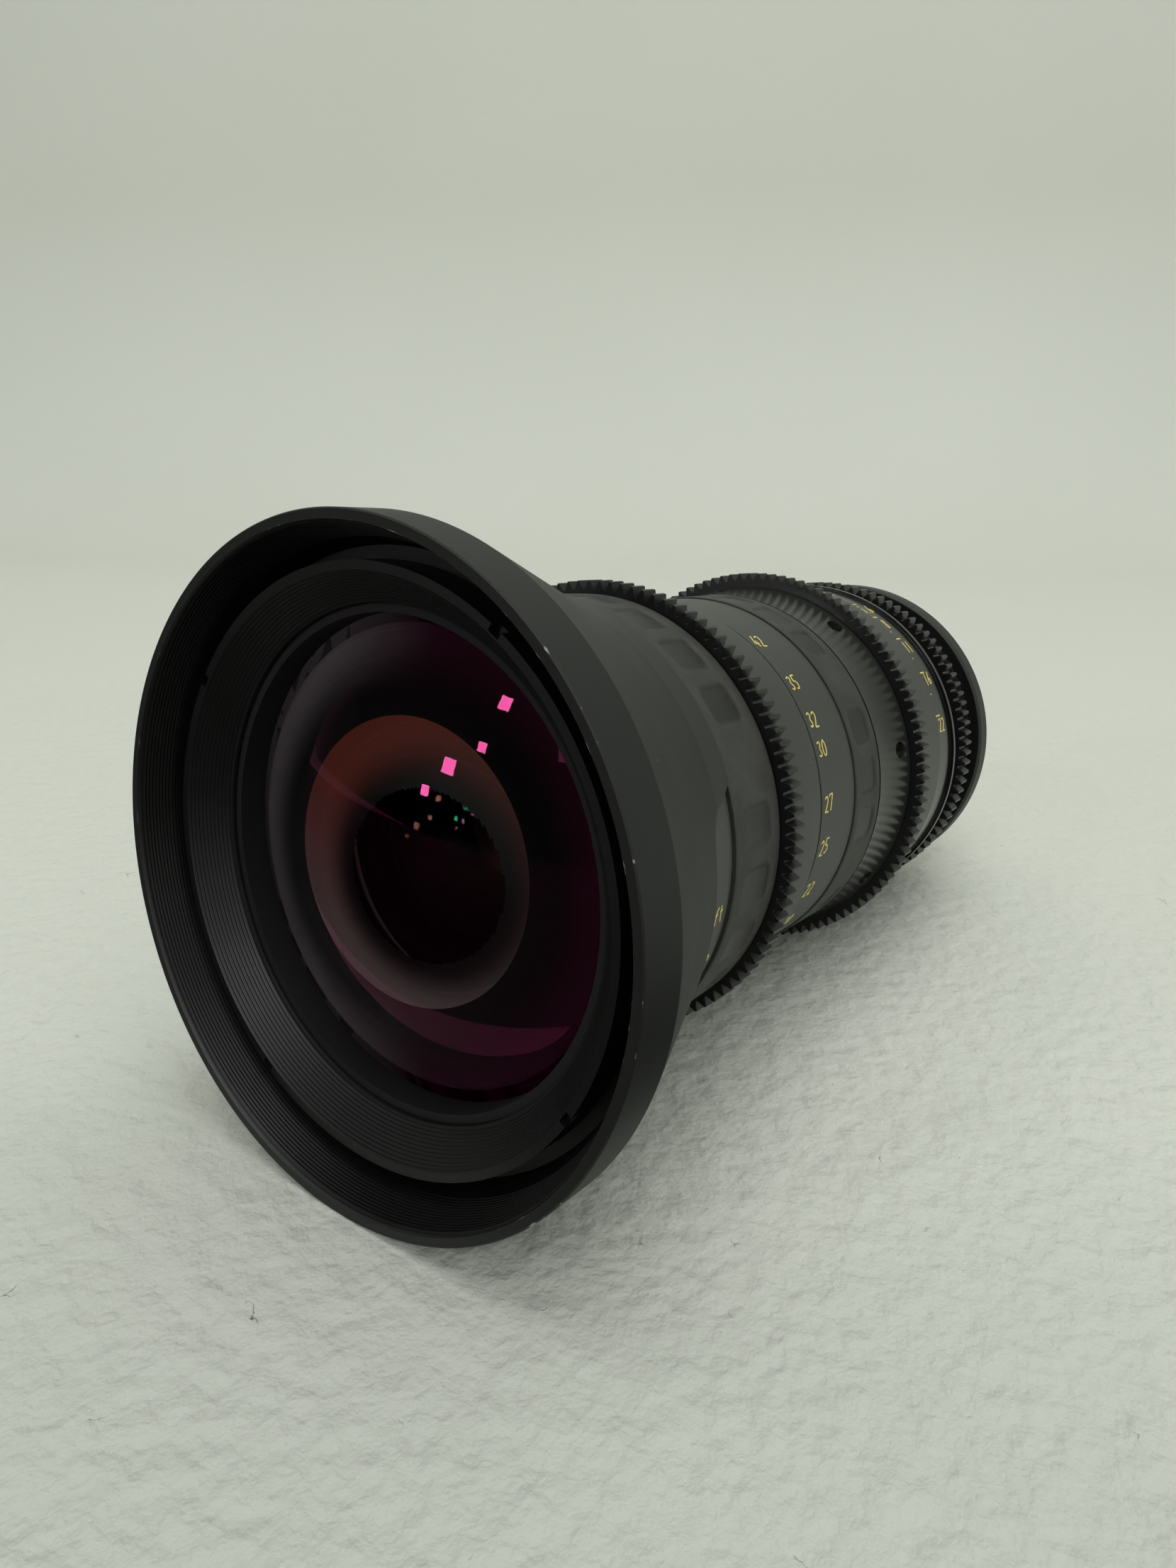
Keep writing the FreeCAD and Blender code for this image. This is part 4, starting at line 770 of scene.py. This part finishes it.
print("mount")
mount = {
    "corners": [(22.0, 185.2), (29.5, 185.2), (29.5, 187.8), (34.0, 187.8), (34.0, 191.0), (27.0, 191.0),
                (27.0, 199.0), (24.4, 199.0), (24.4, 213.0), (22.0, 213.0)],  # neck, tabs, register and tail
    "cutMiddle": 188.0, "gaps": 4, "gapFloor": 30.2, "gapSize": (10.0, 12.0, 24.0),
    "keyFloor": 31.6, "keySize": (6.0, 12.0, 3.2), "keyTurn": 45,
}
gaps = [placed(block(mount["gapSize"]), mount["gapFloor"] + mount["gapSize"][0] / 2, mount["cutMiddle"],
               count * 360 / mount["gaps"]) for count in range(mount["gaps"])]
gaps.append(placed(block(mount["keySize"]), mount["keyFloor"] + mount["keySize"][0] / 2, mount["cutMiddle"],
                   mount["keyTurn"]))
steel = cutAway(turnedRing(mount["corners"]), joined(gaps))
finishPiece(steel, "cameraMount", "lens_barrel", mountSteel, ["lens_mount"])
glassCell("rearGlassCell", "rear_cell", **cells["rear"])

print("finishes")
slotFinish = {"anodised_black": innerBlack, "anodised_grey": ringGrey, "grip_rubber": gripRubber,
              "mount_steel": mountSteel, "blade_steel": bladeSteel, "coated_glass": deepFilm}
nodeSlot = {part["node"]: part["material_slot"] for part in frame["record"]["subparts"]}
for node, item in frame["nodes"].items():
    if not item.hide_render:
        item.data.materials.clear()
        item.data.materials.append(slotFinish[nodeSlot[node]])

print("stage")
studio = {
    "floorTouch": -0.0570, "tilt": 5.367, "turn": 30.0, "inwards": (-0.5, 0.866, 0.0),
    "wallBehind": 0.95, "curve": 0.35, "width": 4.0, "front": -1.1, "wallHeight": 2.4,
    # the last tone is painted shade for the floor nearest the camera
    "paint": "#D6D9D0", "paintDeep": "#CED2C8", "paintShadeNearCamera": "#B4B9B0",
    "flag": ((2.4, 1.52, 1), (0, -0.97, 0), 0.002),           # size, place and height over the floor
    "smallFlag": ((0.3, 0.12, 1), (0.21, -0.16, 0), 0.003),   # beside the bell
}


def studioPaint():
    # Emulsion paint over trowelled plaster: flat, with soft hollows and a few hairline cracks on the
    # trodden part in front, and painted shade that darkens the floor towards the camera. The lie is how far a place
    # lies into the room.
    material, add, shader, place = startMaterial("rolledEmulsionPaint", Roughness=0.75)
    lie = add("VectorMath", {1: studio["inwards"]}, {0: place}, operation="DOT_PRODUCT")
    trodden = add("MapRange", {"From Min": 0.35, "From Max": -0.15}, {"Value": lie})
    cloud = add("TexNoise", {"Scale": 3.0, "Detail": 6.0, "Roughness": 0.55}, {"Vector": place})
    tone = add("Mix", {"A": colour(studio["paintDeep"]), "B": colour(studio["paint"])}, {"Factor": cloud},
               data_type="RGBA")
    # painted shade: the floor takes a darker tone towards the camera
    worn = add("MapRange", {"From Min": -0.11, "From Max": -0.235, "To Max": 0.45}, {"Value": lie},
               interpolation_type="SMOOTHSTEP")
    ground = add("Mix", {"B": colour(studio["paintShadeNearCamera"])}, {"Factor": worn, "A": tone}, data_type="RGBA")
    wander = add("TexNoise", {"Scale": grainSize(4), "Detail": 3.0, "Roughness": 0.6}, {"Vector": place})
    bent = add("VectorMath", {1: (0.004,) * 3}, {0: wander.outputs["Color"], 2: place}, operation="MULTIPLY_ADD")
    net = add("TexVoronoi", {"Scale": grainSize(13)}, {"Vector": bent}, feature="DISTANCE_TO_EDGE")
    hair = add("MapRange", {"From Min": 0.003, "From Max": 0.008, "To Min": 0.8, "To Max": 0.0}, {"Value": net})
    rare = add("TexNoise", {"Scale": grainSize(7), "Detail": 2.0}, {"Vector": place})
    here = add("MapRange", {"From Min": 0.66, "From Max": 0.72}, {"Value": rare})
    crack = add("Math", links={0: hair, 1: here}, operation="MULTIPLY")
    faint = add("Math", links={0: crack, 1: trodden}, operation="MULTIPLY")
    skin = add("Mix", {"B": colour("#5C5C58")}, {"Factor": faint, "A": ground}, data_type="RGBA")
    hollows = add("TexNoise", {"Scale": grainSize(5), "Detail": 4.0}, {"Vector": place})
    height = add("Math", links={0: hollows, 1: trodden}, operation="MULTIPLY")
    bump = add("Bump", {"Strength": 0.8, "Distance": 0.0022}, {"Height": height})
    linkTo(shader, {"Base Color": skin, "Normal": bump})
    return material


sweep = bmesh.new()
line = [sweep.verts.new((-studio["width"], *spot)) for spot in (
    (studio["front"], 0), (studio["wallBehind"], 0), (studio["wallBehind"], studio["wallHeight"]))]
for first, second in zip(line, line[1:]):
    sweep.edges.new((first, second))
bmesh.ops.bevel(sweep, geom=[line[1]], offset=studio["curve"], segments=24, profile=0.5,
                affect="VERTICES", clamp_overlap=False, material=-1)
across = bmesh.ops.extrude_edge_only(sweep, edges=sweep.edges[:])
move(sweep, (2 * studio["width"], 0, 0), newVerts(across))
bmesh.ops.recalc_face_normals(sweep, faces=sweep.faces)
rotate(sweep, studio["turn"], "Z")
rotate(sweep, studio["tilt"], "X")
floorUp = Vector((0, -math.sin(math.radians(studio["tilt"])), math.cos(math.radians(studio["tilt"]))))
rimFoot = Vector((0, -shared["rimToSeat"] * millimetre, studio["floorTouch"]))
floorLevel = floorUp.dot(rimFoot)
move(sweep, floorUp * floorLevel)
floor = meshObject(sweep, "studioSweep")
floor.data.shade_smooth()
floor.data.materials.append(studioPaint())

# painted reflection: a black sheet on the floor, hidden from the camera, diffuse light and shadows, so that it only
# darkens what the glass and glossy parts mirror
flag = bmesh.new()  # black cloth on the floor, hidden but for what the glass mirrors
sizes, way, lift = studio["flag"]
bmesh.ops.create_grid(flag, x_segments=1, y_segments=1, size=0.5)
scale(flag, sizes)
move(flag, way)
rotate(flag, studio["tilt"], "X")
move(flag, floorUp * (floorLevel + lift))
sizes, way, lift = studio["smallFlag"]
beside = bmesh.ops.create_grid(flag, x_segments=1, y_segments=1, size=0.5)["verts"]
scale(flag, sizes, beside)
move(flag, floorUp * (floorLevel + lift) + Vector(way), beside)
darkReflectionSheet = meshObject(flag, "darkReflectionSheet")
darkReflectionSheet.data.materials.append(edgeBlacking)
darkReflectionSheet.visible_camera = darkReflectionSheet.visible_diffuse = darkReflectionSheet.visible_shadow = False

print("light and camera")
lighting = {
    "pale": (0.79, "#F4F6F1"),    # walls of the white studio round the lens
    "dark": (0.025, "#8A9088"),   # the unlit room behind the camera
    "darkWay": (-0.38, -0.925, -0.02),
    "darkSpan": (0.45, 0.78),     # cosines between which the room goes dark
    "lens": (0, -0.1, 0),         # what most lamps point at
    "overhead": ((0.3, -0.35, 1.7), 1.5, 8.0),
    "softbox": ((0.7, -1.7, 1.2), 1.2, 7.5),  # gives the ribs inside the bell their sheen
    "wallWash": ((0.0, 0.0, 2.1), 1.0, 6.0),
    "wallMiddle": (-0.6, 1.0, 0.9),
    "panels": (((-1.2, -5.3, 2.9), 0.36), ((-1.5, -5.7, 1.75), 0.26), ((-2.35, -5.6, 1.05), 0.4),
               ((-2.9, -5.4, 0.3), 0.26)),
    "panelGlow": 30.0,            # radiance of a ceiling panel
}
world = bpy.data.worlds.new("studioAir")
world.use_nodes = True
add = partial(addNode, world.node_tree)
towards = add("TexCoord").outputs["Generated"]
behind = add("VectorMath", {1: lighting["darkWay"]}, {0: towards}, operation="DOT_PRODUCT")
unlit = add("MapRange", {"From Min": lighting["darkSpan"][0], "From Max": lighting["darkSpan"][1]}, {"Value": behind},
            interpolation_type="SMOOTHSTEP")
tone = add("Mix", {"A": colour(lighting["pale"][1]), "B": colour(lighting["dark"][1])}, {"Factor": unlit},
           data_type="RGBA")
level = add("MapRange", {"To Min": lighting["pale"][0], "To Max": lighting["dark"][0]}, {"Value": unlit})
linkTo(world.node_tree.nodes["Background"], {"Color": tone, "Strength": level})
bpy.context.scene.world = world
lamps = [("overhead", *lighting["overhead"], lighting["lens"]), ("softbox", *lighting["softbox"], lighting["lens"]),
         ("wallWash", *lighting["wallWash"], lighting["wallMiddle"])]
lamps += [("panel" + str(count), spot, wide, lighting["panelGlow"] * math.pi * wide * wide, lighting["lens"])
          for count, (spot, wide) in enumerate(lighting["panels"])]
for name, spot, wide, watts, aim in lamps:
    lamp = bpy.data.lights.new(name, "AREA")
    lamp.shape, lamp.size, lamp.energy = "SQUARE", wide, watts
    holder = bpy.data.objects.new(name, lamp)
    holder.location = spot
    holder.rotation_euler = (Vector(aim) - Vector(spot)).to_track_quat("-Z", "Y").to_euler()
    holder.visible_transmission = name != "softbox"  # no large square in the inner glass
    bpy.context.scene.collection.objects.link(holder)

view = {"place": (0.12540, -0.29641, 0.06030), "right": (0.80541, 0.59012, 0.05544),
        "up": (-0.16834, 0.13806, 0.97601), "ahead": (-0.56831, 0.79542, -0.21054), "lens": 25.11,
        "shift": (-0.0160, -0.0316), "sensor": 36.0, "clip": (0.01, 20.0)}
camera = bpy.data.objects.new("camera", bpy.data.cameras.new("camera"))
axes = Matrix((view["right"], view["up"], [-part for part in view["ahead"]])).transposed()
camera.matrix_world = Matrix.Translation(view["place"]) @ axes.to_4x4()
camera.data.sensor_width, camera.data.lens = view["sensor"], view["lens"]
camera.data.shift_x, camera.data.shift_y = view["shift"]
camera.data.clip_start, camera.data.clip_end = view["clip"]
bpy.context.scene.collection.objects.link(camera)
bpy.context.scene.camera = camera
bpy.context.scene.view_settings.view_transform = "Standard"
